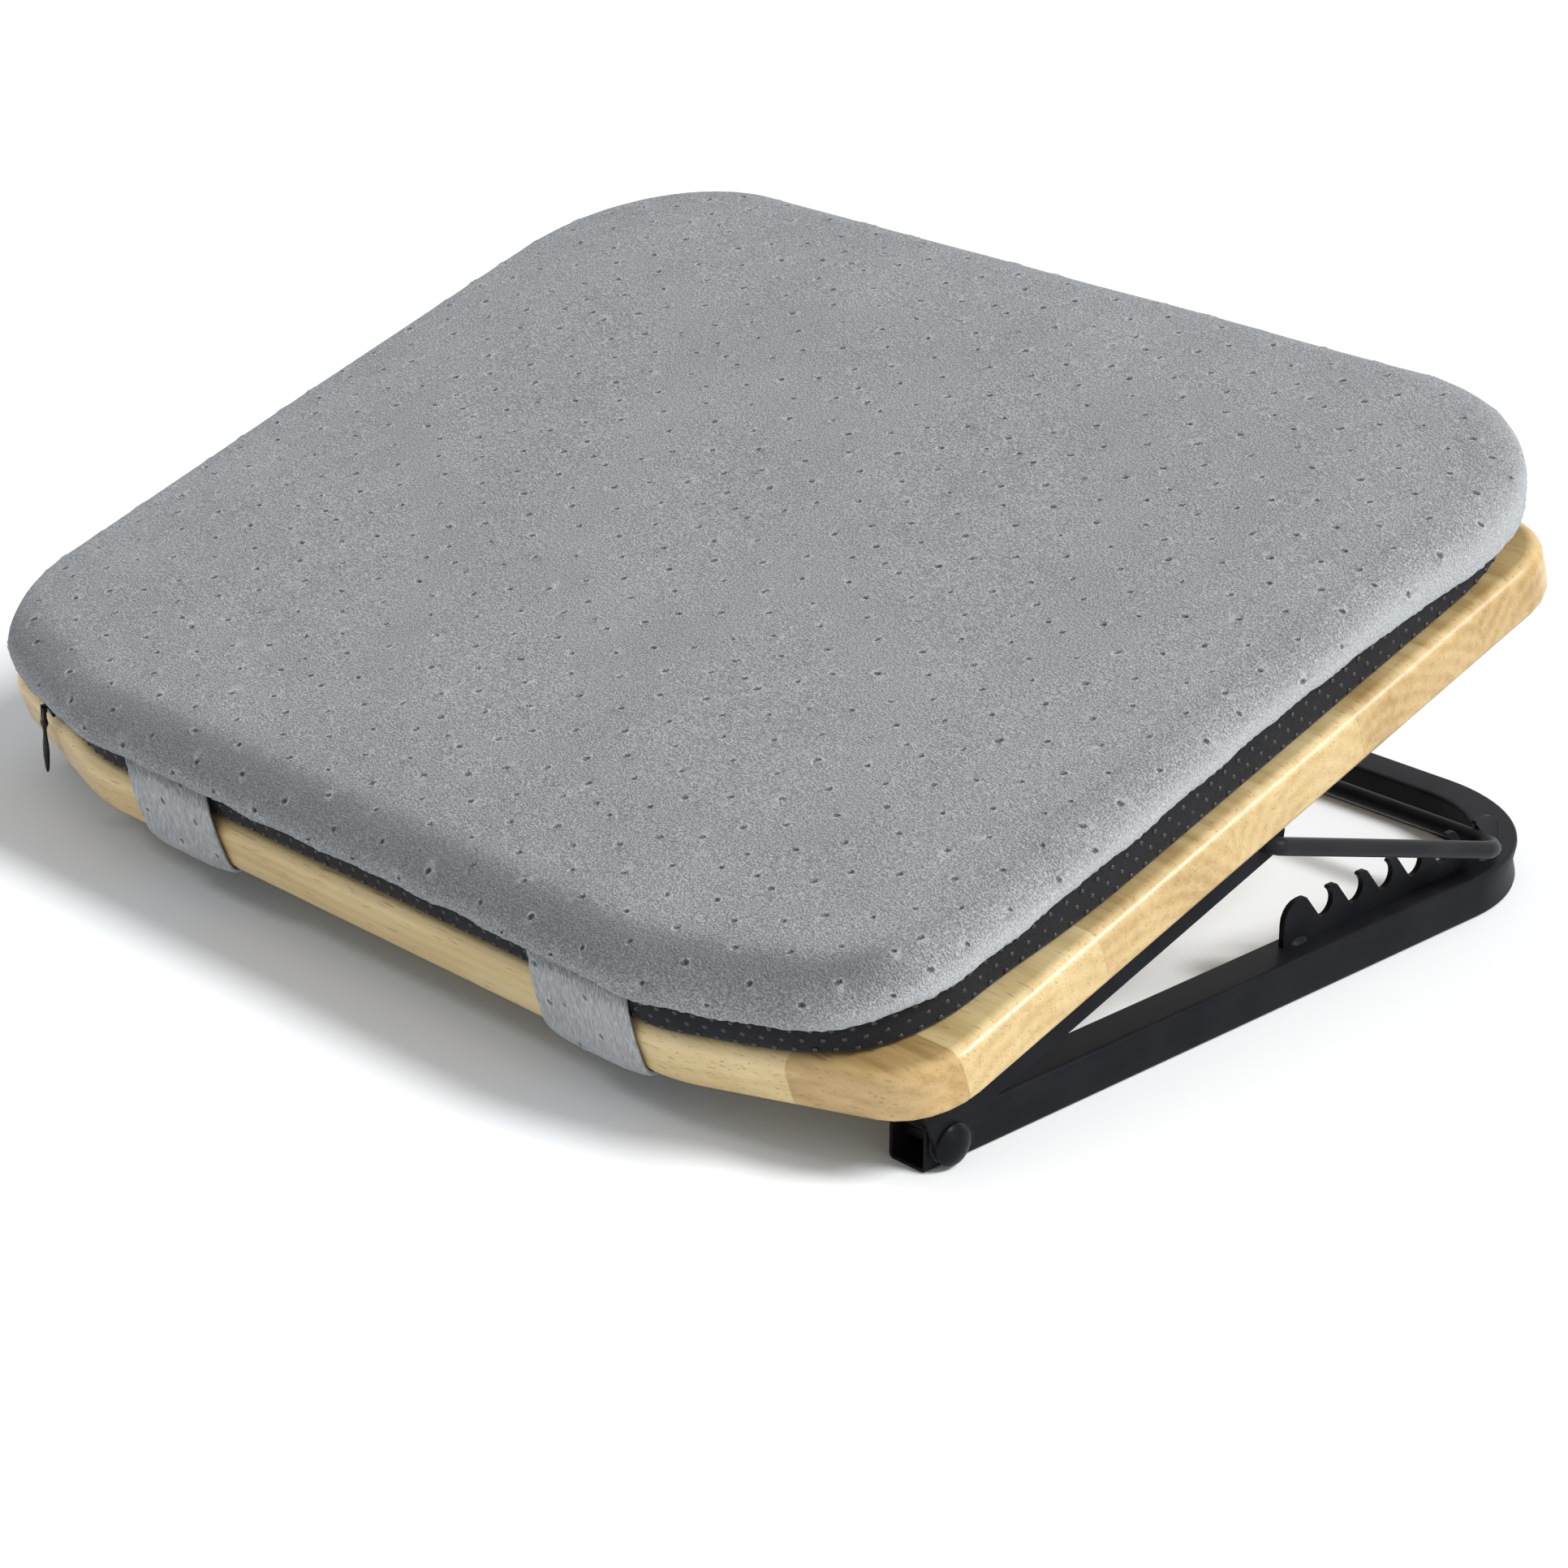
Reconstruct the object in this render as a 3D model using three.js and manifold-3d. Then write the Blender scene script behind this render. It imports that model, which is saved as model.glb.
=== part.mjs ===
// Tilting under-desk footrest: a wooden board with a strapped cushion, hinged on a bent steel frame
// and held up by a wire prop that drops into two toothed racks.
// Units are millimetres. Z is up and the low edge of the board faces -Y.
// The origin is on the floor under the middle of the rear beam of the frame.
import * as THREE from 'three';
import { mergeVertices } from 'three/addons/utils/BufferGeometryUtils.js';
import Module from 'manifold-3d';

const wasm = await Module();
wasm.setup();

// Gaps between pieces
const rest_gap = 0.3;
const running_gap = 0.08;
const press_gap = 0.05;
const merge_gap = 0.0005;

// Board
const board_width = 460;
const board_depth = 330;
const board_thick = 18;
const cut_run = 86;
const front_cut = 24;
const cut_round = 80;
const side_round = 26;
const rear_round = 25;
const top_arris = 5;
const bottom_arris = 2.5;
const rest_tilt = 18.2;

// Lower frame
const frame_inset = 15;
const frame_depth = 317;
const tube_height = 15;
const tube_width = 15;
const tube_wall = 1.2;
const tube_corner = 1.5;
const bend_outer = 58;
const neck_depth = 1.6;

// Front hinge
const pivot_from_end = 8;
const pivot_height = 8.2;
const pivot_from_front = 38;
const pivot_drop = 19.8;
const rivet_radius = 3;
const rivet_head_radius = 6.8;
const rivet_rim = 1.1;
const rivet_dome = 2.4;
const rivet_tail = 0.8;
const collar_radius = 5.2;
const collar_thick = 1.6;
const washer_thick = 0.6;

// Rails under the board
const rail_thick = 2;
const rail_drop = 17;
const rail_reach = 18;
const rail_front = 31;
const rail_rear = 193;
const rail_end_round = 7;
const ear_ahead = 5;
const ear_behind = 9;
const ear_below = 7.5;
const ear_round = 6.5;
const screw_count = 3;
const screw_first = 66;
const screw_pitch = 44;
const screw_radius = 1.8;
const screw_length = 12;
const screw_head_radius = 3.6;
const screw_head_height = 1.8;

// Wire prop
const rod_radius = 3;
const prop_from_front = 183.6;
const prop_drop = 10.7;
const rod_top_bend = 3.6;
const rod_low_bend = 14;
const pin_length = 6;
const clip_radius = 6;
const clip_thick = 1.2;

// Toothed racks
const rack_thick = 2;
const rack_inset = 8.2;
const notch_count = 6;
const notch_pitch = 15.05;
const first_notch = 179.2;
const notch_floor = 5.4;
const tooth_height = 14.9;
const tooth_flank = 51;
const pocket_radius = 4.6;
const notch_flat = 1.1;
const nose_round = 0.6;
const flank_round = 2;
const least_round = 0.5;
const rack_lead = 19;
const rack_tail = 15.3;
const rack_round = 7;
const weld_leg = 1.8;
const weld_length = 8;
const weld_inset = 7;
const weld_taper = 0.92;

// Cushion
const cushion_inset = 4.5;
const cushion_front = -1.5;
const cushion_overhang = 26;
const cushion_cut_inset = 4;
const cushion_round = 47;
const cushion_rear_round = 74;
const grip_height = 11.5;
const grip_inset = 4.5;
const grip_round = 1.6;
const cushion_rise = 32;
const cushion_edge_rise = 12;
const cushion_edge_run = 12;
const cushion_tuck = 2;
const crown_rise = 2.6;
const crown_run = 60;
const cover_thick = 2;

// Straps
const strap_width = 46;
const strap_thick = 1.5;
const strap_left = -92;
const strap_right = 112;
const strap_tail = 52;
const patch_length = 26;
const patch_thick = 1.2;

// Zip
const tape_lift = 2.4;
const tape_height = 4;
const tape_thick = 0.9;
const tape_rear = 250;
const slider_from_side = 45.5;
const slider_length = 8;
const slider_height = 5;
const slider_thick = 1.8;
const lug_width = 0.9;
const lug_reach = 2.2;
const lug_height = 3;
const lug_end = 0.9;
const pin_radius = 0.45;
const pull_length = 23.4;
const pull_half = 2.2;
const pull_fork = 3;
const pull_flat_share = 0.62;
const prong_width = 0.8;
const prong_depth = 1.3;

// Counts used to facet curves
const corner_steps = 6;
const edge_steps = 5;
const crown_steps = 3;
const bend_steps = 20;
const pocket_steps = 10;
const nose_steps = 5;
const flank_steps = 3;
const bead_steps = 4;
const rod_sides = 12;
const hole_sides = 32;
const small_sides = 16;

// Derived positions
const tilt = THREE.MathUtils.degToRad(rest_tilt);
const front_straight = board_width - 2 * cut_run;
const frame_width = board_width - 2 * frame_inset;
const arm_outer = frame_width / 2;
const arm_inner = arm_outer - tube_width;
const bend_radius = bend_outer - tube_width / 2;
const front_end = tube_width / 2 - frame_depth;
const pivot_y = front_end + pivot_from_end;
const rail_inner = arm_outer + washer_thick + 2 * running_gap;
const rail_outer = rail_inner + rail_thick;
const rod_x = rail_outer + running_gap + rod_top_bend;
const rack_outer = arm_outer - rack_inset;
const cushion_half = board_width / 2 - cushion_inset;
const cushion_straight = front_straight - 2 * cushion_cut_inset;
const cushion_rear = board_depth + cushion_overhang;
const slider_from_middle = cushion_half - slider_from_side;
const grip_top = board_thick + rest_gap + grip_height;
const tape_low = board_thick + rest_gap + tape_lift;
const cover_low = grip_top + press_gap;
const cushion_top = board_thick + cushion_rise;
const widest_up = cushion_top - crown_rise - cushion_edge_rise;
const flank = THREE.MathUtils.degToRad(tooth_flank);

const paints = {
  frame: { color: 0x1c1d20, roughness: 0.5, metalness: 0.35 },
  rail: { color: 0x1f2024, roughness: 0.5, metalness: 0.35 },
  rod: { color: 0x232529, roughness: 0.42, metalness: 0.4 },
  rivet: { color: 0x1a1b1e, roughness: 0.3, metalness: 0.5 },
  zinc: { color: 0x9a9c9e, roughness: 0.35, metalness: 0.9 },
  nylon: { color: 0x141414, roughness: 0.6, metalness: 0 },
  wood: { color: 0xd9b983, roughness: 0.38, metalness: 0 },
  velour: { color: 0x8f949b, roughness: 0.95, metalness: 0 },
  foam: { color: 0xe6e1cf, roughness: 0.95, metalness: 0 },
  grip: { color: 0x17181a, roughness: 0.85, metalness: 0 },
  tape: { color: 0x121214, roughness: 0.8, metalness: 0 },
  pull: { color: 0x0e0f11, roughness: 0.35, metalness: 0.3 },
};

// Mesh helpers

function signedVolume(geometry) {
  const place = geometry.attributes.position;
  const index = geometry.index;
  const corner = (i) => new THREE.Vector3().fromBufferAttribute(place, index.getX(i));
  let sum = 0;
  for (let i = 0; i < index.count; i += 3) {
    sum += corner(i).dot(corner(i + 1).cross(corner(i + 2)));
  }
  return sum;
}

// An indexed copy with positions only, facing outward.
function facingOut(geometry) {
  const bare = new THREE.BufferGeometry();
  bare.setAttribute('position', geometry.attributes.position);
  bare.setIndex(geometry.index);
  const merged = mergeVertices(bare, merge_gap);
  if (signedVolume(merged) < 0) {
    const index = merged.index;
    for (let i = 0; i < index.count; i += 3) {
      const second = index.getX(i + 1);
      index.setX(i + 1, index.getX(i + 2));
      index.setX(i + 2, second);
    }
  }
  return merged;
}

function toSolid(geometry) {
  const closed = facingOut(geometry);
  return new wasm.Manifold(new wasm.Mesh({
    numProp: 3,
    vertProperties: new Float32Array(closed.attributes.position.array),
    triVerts: new Uint32Array(closed.index.array),
  }));
}

function fromSolid(solid) {
  const mesh = solid.getMesh();
  const geometry = new THREE.BufferGeometry();
  const places = new THREE.BufferAttribute(new Float32Array(mesh.vertProperties), 3);
  geometry.setAttribute('position', places);
  geometry.setIndex(new THREE.BufferAttribute(new Uint32Array(mesh.triVerts), 1));
  return geometry;
}

function cut(geometry, tools) {
  return fromSolid(tools.reduce((solid, tool) => solid.subtract(toSolid(tool)), toSolid(geometry)));
}

function join(geometries) {
  return fromSolid(geometries.map(toSolid).reduce((solid, more) => solid.add(more)));
}

function overlapOf(geometry, other) {
  return fromSolid(toSolid(geometry).intersect(toSolid(other)));
}

// Joins equal loops of points one after another. A closed run meets its own start,
// an open one is filled at both ends.
function skinLoops(loops, closed = false) {
  const size = loops[0].length;
  const places = loops.flat().flatMap((p) => [p.x, p.y, p.z]);
  const faces = [];
  const rows = closed ? loops.length : loops.length - 1;
  for (let row = 0; row < rows; row++) {
    const next = (row + 1) % loops.length;
    for (let i = 0; i < size; i++) {
      const j = (i + 1) % size;
      faces.push(row * size + i, row * size + j, next * size + j);
      faces.push(row * size + i, next * size + j, next * size + i);
    }
  }
  if (!closed) {
    fillEnd(loops[0], 0, true, places, faces);
    fillEnd(loops[loops.length - 1], (loops.length - 1) * size, false, places, faces);
  }
  const geometry = new THREE.BufferGeometry();
  geometry.setAttribute('position', new THREE.Float32BufferAttribute(places, 3));
  geometry.setIndex(faces);
  return facingOut(geometry);
}

function fillEnd(loop, first, turned, places, faces) {
  const centre = places.length / 3;
  const middle = loop.reduce((sum, p) => sum.add(p), new THREE.Vector3()).divideScalar(loop.length);
  places.push(middle.x, middle.y, middle.z);
  loop.forEach((p, i) => {
    const here = first + i;
    const there = first + (i + 1) % loop.length;
    faces.push(...(turned ? [centre, there, here] : [centre, here, there]));
  });
}

// Rounds the corners of a closed outline. Corners are [x, y, radius] in turn.
function roundCorners(corners, steps = corner_steps) {
  return corners.flatMap(([x, y, radius], i) => {
    const here = new THREE.Vector2(x, y);
    if (radius <= 0) return [here];
    const [bx, by] = corners[(i + corners.length - 1) % corners.length];
    const [ax, ay] = corners[(i + 1) % corners.length];
    const back = new THREE.Vector2(bx, by).sub(here).normalize();
    const ahead = new THREE.Vector2(ax, ay).sub(here).normalize();
    const half = Math.acos(THREE.MathUtils.clamp(back.dot(ahead), -1, 1)) / 2;
    const start = here.clone().addScaledVector(back, radius / Math.tan(half));
    const centre = here.clone()
      .addScaledVector(back.clone().add(ahead).normalize(), radius / Math.sin(half));
    const spoke = start.sub(centre);
    const turn = -Math.sign(back.cross(ahead)) * (Math.PI - 2 * half);
    return Array.from({ length: steps + 1 }, (_, s) => (
      spoke.clone().rotateAround(new THREE.Vector2(), turn * s / steps).add(centre)));
  });
}

// Moves every side of a convex outline inward and rounds the new corners.
function insetOutline(corners, inset) {
  const sides = corners.map(([x, y], i) => {
    const [nx, ny] = corners[(i + 1) % corners.length];
    const along = new THREE.Vector2(nx - x, ny - y).normalize();
    return { along, point: new THREE.Vector2(x - along.y * inset, y + along.x * inset) };
  });
  return roundCorners(corners.map(([, , radius], i) => {
    const before = sides[(i + corners.length - 1) % corners.length];
    const after = sides[i];
    const reach = after.point.clone().sub(before.point).cross(after.along)
      / before.along.cross(after.along);
    const corner = before.point.clone().addScaledVector(before.along, reach);
    return [corner.x, corner.y, Math.max(radius - inset, least_round)];
  }));
}

// A quarter turn in equal steps, as angles from 0.
const quarter = (steps) => Array.from({ length: steps + 1 }, (_, s) => (Math.PI / 2) * (s / steps));

const atHeight = (outline, z) => outline.map((p) => new THREE.Vector3(p.x, p.y, z));

// A flat plate seen from the side: an outline in (y, z) given thickness along x.
function sidePlate(outline, x, thick) {
  const plate = new THREE.ExtrudeGeometry(new THREE.Shape(outline), { depth: thick, bevelEnabled: false });
  const turn = new THREE.Matrix4().makeBasis(
    new THREE.Vector3(0, 1, 0), new THREE.Vector3(0, 0, 1), new THREE.Vector3(1, 0, 0));
  return indexed(plate).applyMatrix4(turn).translate(x, 0, 0);
}

function indexed(geometry) {
  geometry.deleteAttribute('normal');
  geometry.deleteAttribute('uv');
  return mergeVertices(geometry, merge_gap);
}

// A round bar along X between two places.
function barX(radius, x_from, x_to, y, z, sides = hole_sides) {
  const bar = new THREE.CylinderGeometry(radius, radius, Math.abs(x_to - x_from), sides);
  return indexed(bar).rotateZ(Math.PI / 2).translate((x_from + x_to) / 2, y, z);
}

function ringX(outer, inner, x_from, x_to, y, z) {
  return cut(barX(outer, x_from, x_to, y, z), [throughBar(inner, y, z)]);
}

const throughBar = (radius, y, z) => barX(radius, -frame_width, frame_width, y, z);

const box = (x, y, z) => indexed(new THREE.BoxGeometry(x, y, z));

// A turned piece from [radius, height] pairs, standing along its own axis Y.
function turned(pairs, sides) {
  const profile = pairs.map(([radius, height]) => new THREE.Vector2(radius, height));
  return indexed(new THREE.LatheGeometry(profile, sides));
}

// Groups that the pieces sit in

const footrest = new THREE.Group();

// Inside this group x is across, y back from the low edge of the board and z above its underside.
const hinge = new THREE.Group();
hinge.position.set(0, pivot_y, pivot_height);
hinge.rotation.x = tilt;
const board = new THREE.Group();
board.position.set(0, -pivot_from_front, pivot_drop);
hinge.add(board);
footrest.add(hinge);
footrest.updateMatrixWorld(true);

// Lower frame

// The tube's rounded section with a vertex halfway up its outer wall.
function tubeSection(shrink) {
  const half_w = tube_width / 2 - shrink;
  const half_h = tube_height / 2 - shrink;
  const round = Math.max(tube_corner - shrink, tube_corner / 3);
  return roundCorners([
    [half_w, -half_h, round],
    [half_w, 0, 0],
    [half_w, half_h, round],
    [-half_w, half_h, round],
    [-half_w, -half_h, round],
  ], 2);
}

// Stations along the right half of the centre line, from the front end to the rear beam.
function halfStations() {
  const right = arm_outer - tube_width / 2;
  const bend = quarter(bend_steps).map((angle) => ({
    x: right - bend_radius + bend_radius * Math.cos(angle),
    y: -bend_radius + bend_radius * Math.sin(angle),
    angle,
    neck: neck_depth * Math.sin(2 * angle),
  }));
  return [{ x: right, y: front_end, angle: 0, neck: 0 }, ...bend];
}

// Bending draws the outer wall in at mid height.
function stationLoop(station, shrink) {
  const half_h = tube_height / 2 - shrink;
  return tubeSection(shrink).map((p) => {
    const dent = p.x > 0 ? station.neck * (1 - Math.abs(p.y) / half_h) : 0;
    return new THREE.Vector3(
      station.x + (p.x - dent) * Math.cos(station.angle),
      station.y + (p.x - dent) * Math.sin(station.angle),
      tube_height / 2 + p.y);
  });
}

function frameTube() {
  const right = halfStations();
  const left = right.slice().reverse().map((s) => ({ ...s, x: -s.x, angle: Math.PI - s.angle }));
  const stations = right.concat(left);
  const outer = stations.map((s) => stationLoop(s, 0));
  const inner = stations.map((s) => stationLoop(s, tube_wall)).reverse();
  return cut(skinLoops(outer.concat(inner), true),
    [throughBar(rivet_radius + press_gap, pivot_y, pivot_height)]);
}

// Toothed racks

const notchY = (k) => pivot_y + first_notch + k * notch_pitch;
const pocket_up = tube_height + notch_floor + pocket_radius;

// One notch: its flat floor, round pocket and the round nose of the tooth behind it.
function notchPoints(k) {
  const nose_up = tooth_height - notch_floor - pocket_radius - nose_round;
  const reach = pocket_radius + nose_round;
  const last = Math.asin(nose_up / reach);
  const points = [new THREE.Vector2(notchY(k) - notch_flat, pocket_up - pocket_radius)];
  for (let s = 0; s <= pocket_steps; s++) {
    const angle = -Math.PI / 2 + (last + Math.PI / 2) * (s / pocket_steps);
    points.push(new THREE.Vector2(
      notchY(k) + pocket_radius * Math.cos(angle),
      pocket_up + pocket_radius * Math.sin(angle)));
  }
  for (let s = 1; s <= nose_steps; s++) {
    const angle = Math.PI + last - (last + Math.PI / 2) * (s / nose_steps);
    points.push(new THREE.Vector2(
      notchY(k) + reach * Math.cos(last) + nose_round * Math.cos(angle),
      pocket_up + nose_up + nose_round * Math.sin(angle)));
  }
  return points;
}

// Top rear corner of the tooth in front of a notch.
function toothBack(k) {
  const run = (tooth_height - notch_floor) / Math.tan(flank);
  return notchY(k) - notch_flat - run;
}

// The round turn from a tooth's top down into its flank.
function flankTurn(k) {
  const centre_y = toothBack(k) - flank_round * Math.tan(flank / 2);
  const top = tube_height + tooth_height;
  return Array.from({ length: flank_steps + 1 }, (_, s) => new THREE.Vector2(
    centre_y + flank_round * Math.sin(flank * s / flank_steps),
    top - flank_round * (1 - Math.cos(flank * s / flank_steps))));
}

function rackOutline() {
  const top = tube_height + tooth_height;
  const front = notchY(0) - rack_lead;
  const rear = notchY(notch_count - 1) + rack_tail;
  const teeth = Array.from({ length: notch_count }, (_, k) => (
    [...flankTurn(k), ...notchPoints(k)])).flat();
  const front_round = quarter(edge_steps).map((angle) => new THREE.Vector2(
    front + rack_round * (1 - Math.cos(angle)), top - rack_round * (1 - Math.sin(angle))));
  const rear_turn = quarter(edge_steps).map((angle) => new THREE.Vector2(
    rear - rack_round * (1 - Math.sin(angle)), top - rack_round * (1 - Math.cos(angle))));
  return [new THREE.Vector2(front, tube_height), ...front_round, ...teeth, ...rear_turn,
    new THREE.Vector2(rear, tube_height)];
}

function rack(side) {
  const x = side > 0 ? rack_outer - rack_thick : -rack_outer;
  return sidePlate(rackOutline(), x, rack_thick);
}

// A short fillet bead along the outer foot of a rack, drawn in towards its ends.
function rackWeld(side, y) {
  const bead = [[0, 0], [1, 0], [0.72, 0.4], [0.4, 0.72], [0, 1]];
  const stations = Array.from({ length: 2 * bead_steps + 1 }, (_, s) => s / bead_steps - 1);
  return skinLoops(stations.map((share) => {
    const leg = weld_leg * Math.sqrt(1 - share * share * weld_taper);
    return bead.map(([out, up]) => new THREE.Vector3(
      side * (rack_outer + leg * out), y + share * weld_length / 2, tube_height + leg * up));
  }));
}

// Front hinge

function rivet(side) {
  const back = rail_outer + running_gap;
  const rim = back + rivet_rim;
  const dome_shares = [[1, 0], [0.9, 0.22], [0.72, 0.6], [0.42, 0.9]];
  const profile = [
    [0, arm_inner - collar_thick - rivet_tail],
    [rivet_radius, arm_inner - collar_thick - rivet_tail],
    [rivet_radius, back],
    [rivet_head_radius, back],
    ...dome_shares.map(([out, up]) => [rivet_head_radius * out, rim + rivet_dome * up]),
    [0, rim + rivet_dome],
  ];
  return turned(profile, hole_sides).rotateZ(-side * Math.PI / 2).translate(0, pivot_y, pivot_height);
}

function hingeWasher(side) {
  const from = side * (arm_outer + running_gap);
  return ringX(rivet_head_radius, rivet_radius + running_gap, from, from + side * washer_thick,
    pivot_y, pivot_height);
}

function rivetCollar(side) {
  const from = side * (arm_inner - press_gap);
  return ringX(collar_radius, rivet_radius + press_gap, from, from - side * collar_thick,
    pivot_y, pivot_height);
}

// Rails

// Side view of a rail: a strip under the board with an ear round the hinge.
function railOutline() {
  const ear_low = -pivot_drop - ear_below;
  return roundCorners([
    [rail_front, -rest_gap, 0],
    [pivot_from_front - ear_ahead, ear_low, ear_round],
    [pivot_from_front + ear_behind, ear_low, ear_round],
    [pivot_from_front + ear_behind, -rail_drop, 0],
    [rail_rear, -rail_drop, rail_end_round],
    [rail_rear, -rest_gap, 0],
  ], edge_steps);
}

const screwBacks = () => Array.from({ length: screw_count }, (_, i) => screw_first + i * screw_pitch);
const screw_x = rail_inner - rail_reach / 2;
const flange_low = -rest_gap - rail_thick;

function rail(side) {
  const web = sidePlate(railOutline(), side > 0 ? rail_inner : -rail_outer, rail_thick);
  const length = rail_rear - rail_front;
  const reach = rail_reach + rail_thick / 2;
  const flange = box(reach, length, rail_thick).translate(
    side * (rail_inner + rail_thick / 2 - reach / 2), rail_front + length / 2, flange_low + rail_thick / 2);
  const holes = [
    throughBar(rivet_radius + running_gap, pivot_from_front, -pivot_drop),
    throughBar(rod_radius + running_gap, prop_from_front, -prop_drop),
    ...screwBacks().map((back) => screwHole(side, back)),
  ];
  return cut(join([web, flange]), holes);
}

function screwHole(side, back) {
  const length = 2 * (screw_length + rest_gap);
  const hole = new THREE.CylinderGeometry(screw_radius + rest_gap, screw_radius + rest_gap, length, small_sides);
  return indexed(hole).rotateX(Math.PI / 2).translate(side * screw_x, back, flange_low);
}

function screw(side, back) {
  const head_shares = [[0, 1], [0.7, 1], [1, 0.4], [1, 0]];
  const shank_shares = [[1, 0], [1, 0.75], [0, 1]];
  const profile = [
    ...head_shares.map(([out, down]) => [screw_head_radius * out, -screw_head_height * down]),
    ...shank_shares.map(([out, up]) => [screw_radius * out, screw_length * up]),
  ];
  return turned(profile, small_sides).rotateX(Math.PI / 2)
    .translate(side * screw_x, back, flange_low - rest_gap);
}

// Wire prop

// The lower bar lies in the last notch, thrust against the back of its pocket.
const prop_pivot = board.localToWorld(new THREE.Vector3(0, prop_from_front, -prop_drop));
const last_pocket = new THREE.Vector3(0, notchY(notch_count - 1), pocket_up);
const thrust = last_pocket.clone().sub(prop_pivot);
const prop_span = thrust.length() + pocket_radius - rod_radius - rest_gap;

// Inside this group x is across and y runs down the wire from its upper pins.
const prop = new THREE.Group();
prop.position.copy(prop_pivot);
prop.rotation.x = Math.atan2(thrust.z, thrust.y);
footrest.add(prop);

function propPath() {
  const pin_end = rail_outer - pin_length;
  return roundCorners([
    [pin_end, 0, 0],
    [rod_x, 0, rod_top_bend],
    [rod_x, prop_span, rod_low_bend],
    [-rod_x, prop_span, rod_low_bend],
    [-rod_x, 0, rod_top_bend],
    [-pin_end, 0, 0],
  ], edge_steps);
}

function propRod() {
  const path = propPath();
  return skinLoops(path.map((p, i) => {
    const before = path[Math.max(i - 1, 0)];
    const after = path[Math.min(i + 1, path.length - 1)];
    const ahead = after.clone().sub(p).normalize();
    const along = p.clone().sub(before).normalize().add(ahead).normalize();
    return Array.from({ length: rod_sides }, (_, s) => {
      const angle = 2 * Math.PI * s / rod_sides;
      const side = rod_radius * Math.cos(angle);
      return new THREE.Vector3(p.x + along.y * side, p.y - along.x * side, rod_radius * Math.sin(angle));
    });
  }));
}

// A push-on washer keeps each upper pin in its rail.
function propClip(side) {
  const from = side * (rail_inner - running_gap);
  return ringX(clip_radius, rod_radius + press_gap, from, from - side * clip_thick, 0, 0);
}

// Wooden board

const board_corners = outlineCorners(
  front_straight / 2, 0, board_width / 2, board_depth, side_round, rear_round);

// A plan with a straight low edge, slanted at both ends, and rounded rear corners.
function outlineCorners(straight_half, front, half, rear, front_round, back_round) {
  return [
    [-straight_half, front, cut_round],
    [straight_half, front, cut_round],
    [half, front + front_cut, front_round],
    [half, rear, back_round],
    [-half, rear, back_round],
    [-half, front + front_cut, front_round],
  ];
}

function boardPanel() {
  const low = quarter(2).map((angle) => atHeight(
    insetOutline(board_corners, bottom_arris * (1 - Math.sin(angle))),
    bottom_arris * (1 - Math.cos(angle))));
  const high = quarter(edge_steps).map((angle) => atHeight(
    insetOutline(board_corners, top_arris * (1 - Math.cos(angle))),
    board_thick - top_arris * (1 - Math.sin(angle))));
  const holes = [-1, 1].flatMap((side) => screwBacks().map((back) => screwHole(side, back)));
  return cut(skinLoops(low.concat(high)), holes);
}

// Cushion

const cushion_corners = outlineCorners(
  cushion_straight / 2, cushion_front, cushion_half, cushion_rear, cushion_round, cushion_rear_round);

// Rings of the cushion from its lower edge up, drawn in everywhere by a skin.
function cushionRings(skin, low) {
  const inner = cushion_tuck / 4;
  const rings = [
    atHeight(insetOutline(cushion_corners, cushion_tuck + skin), low),
    atHeight(insetOutline(cushion_corners, inner + skin), (low + widest_up) / 2),
  ];
  const edge = quarter(edge_steps).map((angle) => atHeight(
    insetOutline(cushion_corners, cushion_edge_run * (1 - Math.cos(angle)) + skin),
    widest_up + (cushion_edge_rise - skin) * Math.sin(angle)));
  const crown = quarter(crown_steps).slice(1).map((angle, s) => atHeight(
    insetOutline(cushion_corners, cushion_edge_run + crown_run * ((s + 1) / crown_steps) + skin),
    widest_up + cushion_edge_rise - skin + crown_rise * Math.sin(angle)));
  return [...rings, ...edge, ...crown];
}

// The cover is a skin over the foam, open underneath.
function cushionCover() {
  const outside = cushionRings(0, cover_low).reverse();
  return skinLoops(outside.concat(cushionRings(cover_thick, cover_low)));
}

function foamPad() {
  return skinLoops(cushionRings(cover_thick + rest_gap, cover_low + rest_gap));
}

function gripBase() {
  const low = board_thick + rest_gap;
  const ring = (inset, up) => atHeight(insetOutline(cushion_corners, grip_inset + inset), up);
  return skinLoops([
    ring(grip_round, low),
    ring(0, low + grip_round),
    ring(0, grip_top - grip_round),
    ring(grip_round, grip_top),
  ]);
}

// Straps over the low edge

// Inner line of a strap from its sewn end, round the low edge, to its tail under the board.
function strapPath() {
  const sewn = cushion_front + grip_inset - rest_gap;
  const top = top_arris + rest_gap;
  const low = bottom_arris + rest_gap;
  const over = quarter(edge_steps).map((angle) => new THREE.Vector2(
    top_arris - top * Math.sin(angle), board_thick - top_arris + top * Math.cos(angle)));
  const under = quarter(edge_steps).map((angle) => new THREE.Vector2(
    bottom_arris - low * Math.cos(angle), bottom_arris - low * Math.sin(angle)));
  const tail = strap_tail - patch_length;
  return [
    new THREE.Vector2(sewn, grip_top - rest_gap),
    ...over.filter((p) => p.x < sewn),
    ...under,
    new THREE.Vector2(tail - 2 * patch_thick, -rest_gap),
    new THREE.Vector2(tail - rest_gap, -2 * rest_gap - patch_thick),
    new THREE.Vector2(strap_tail, -2 * rest_gap - patch_thick),
  ];
}

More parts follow.
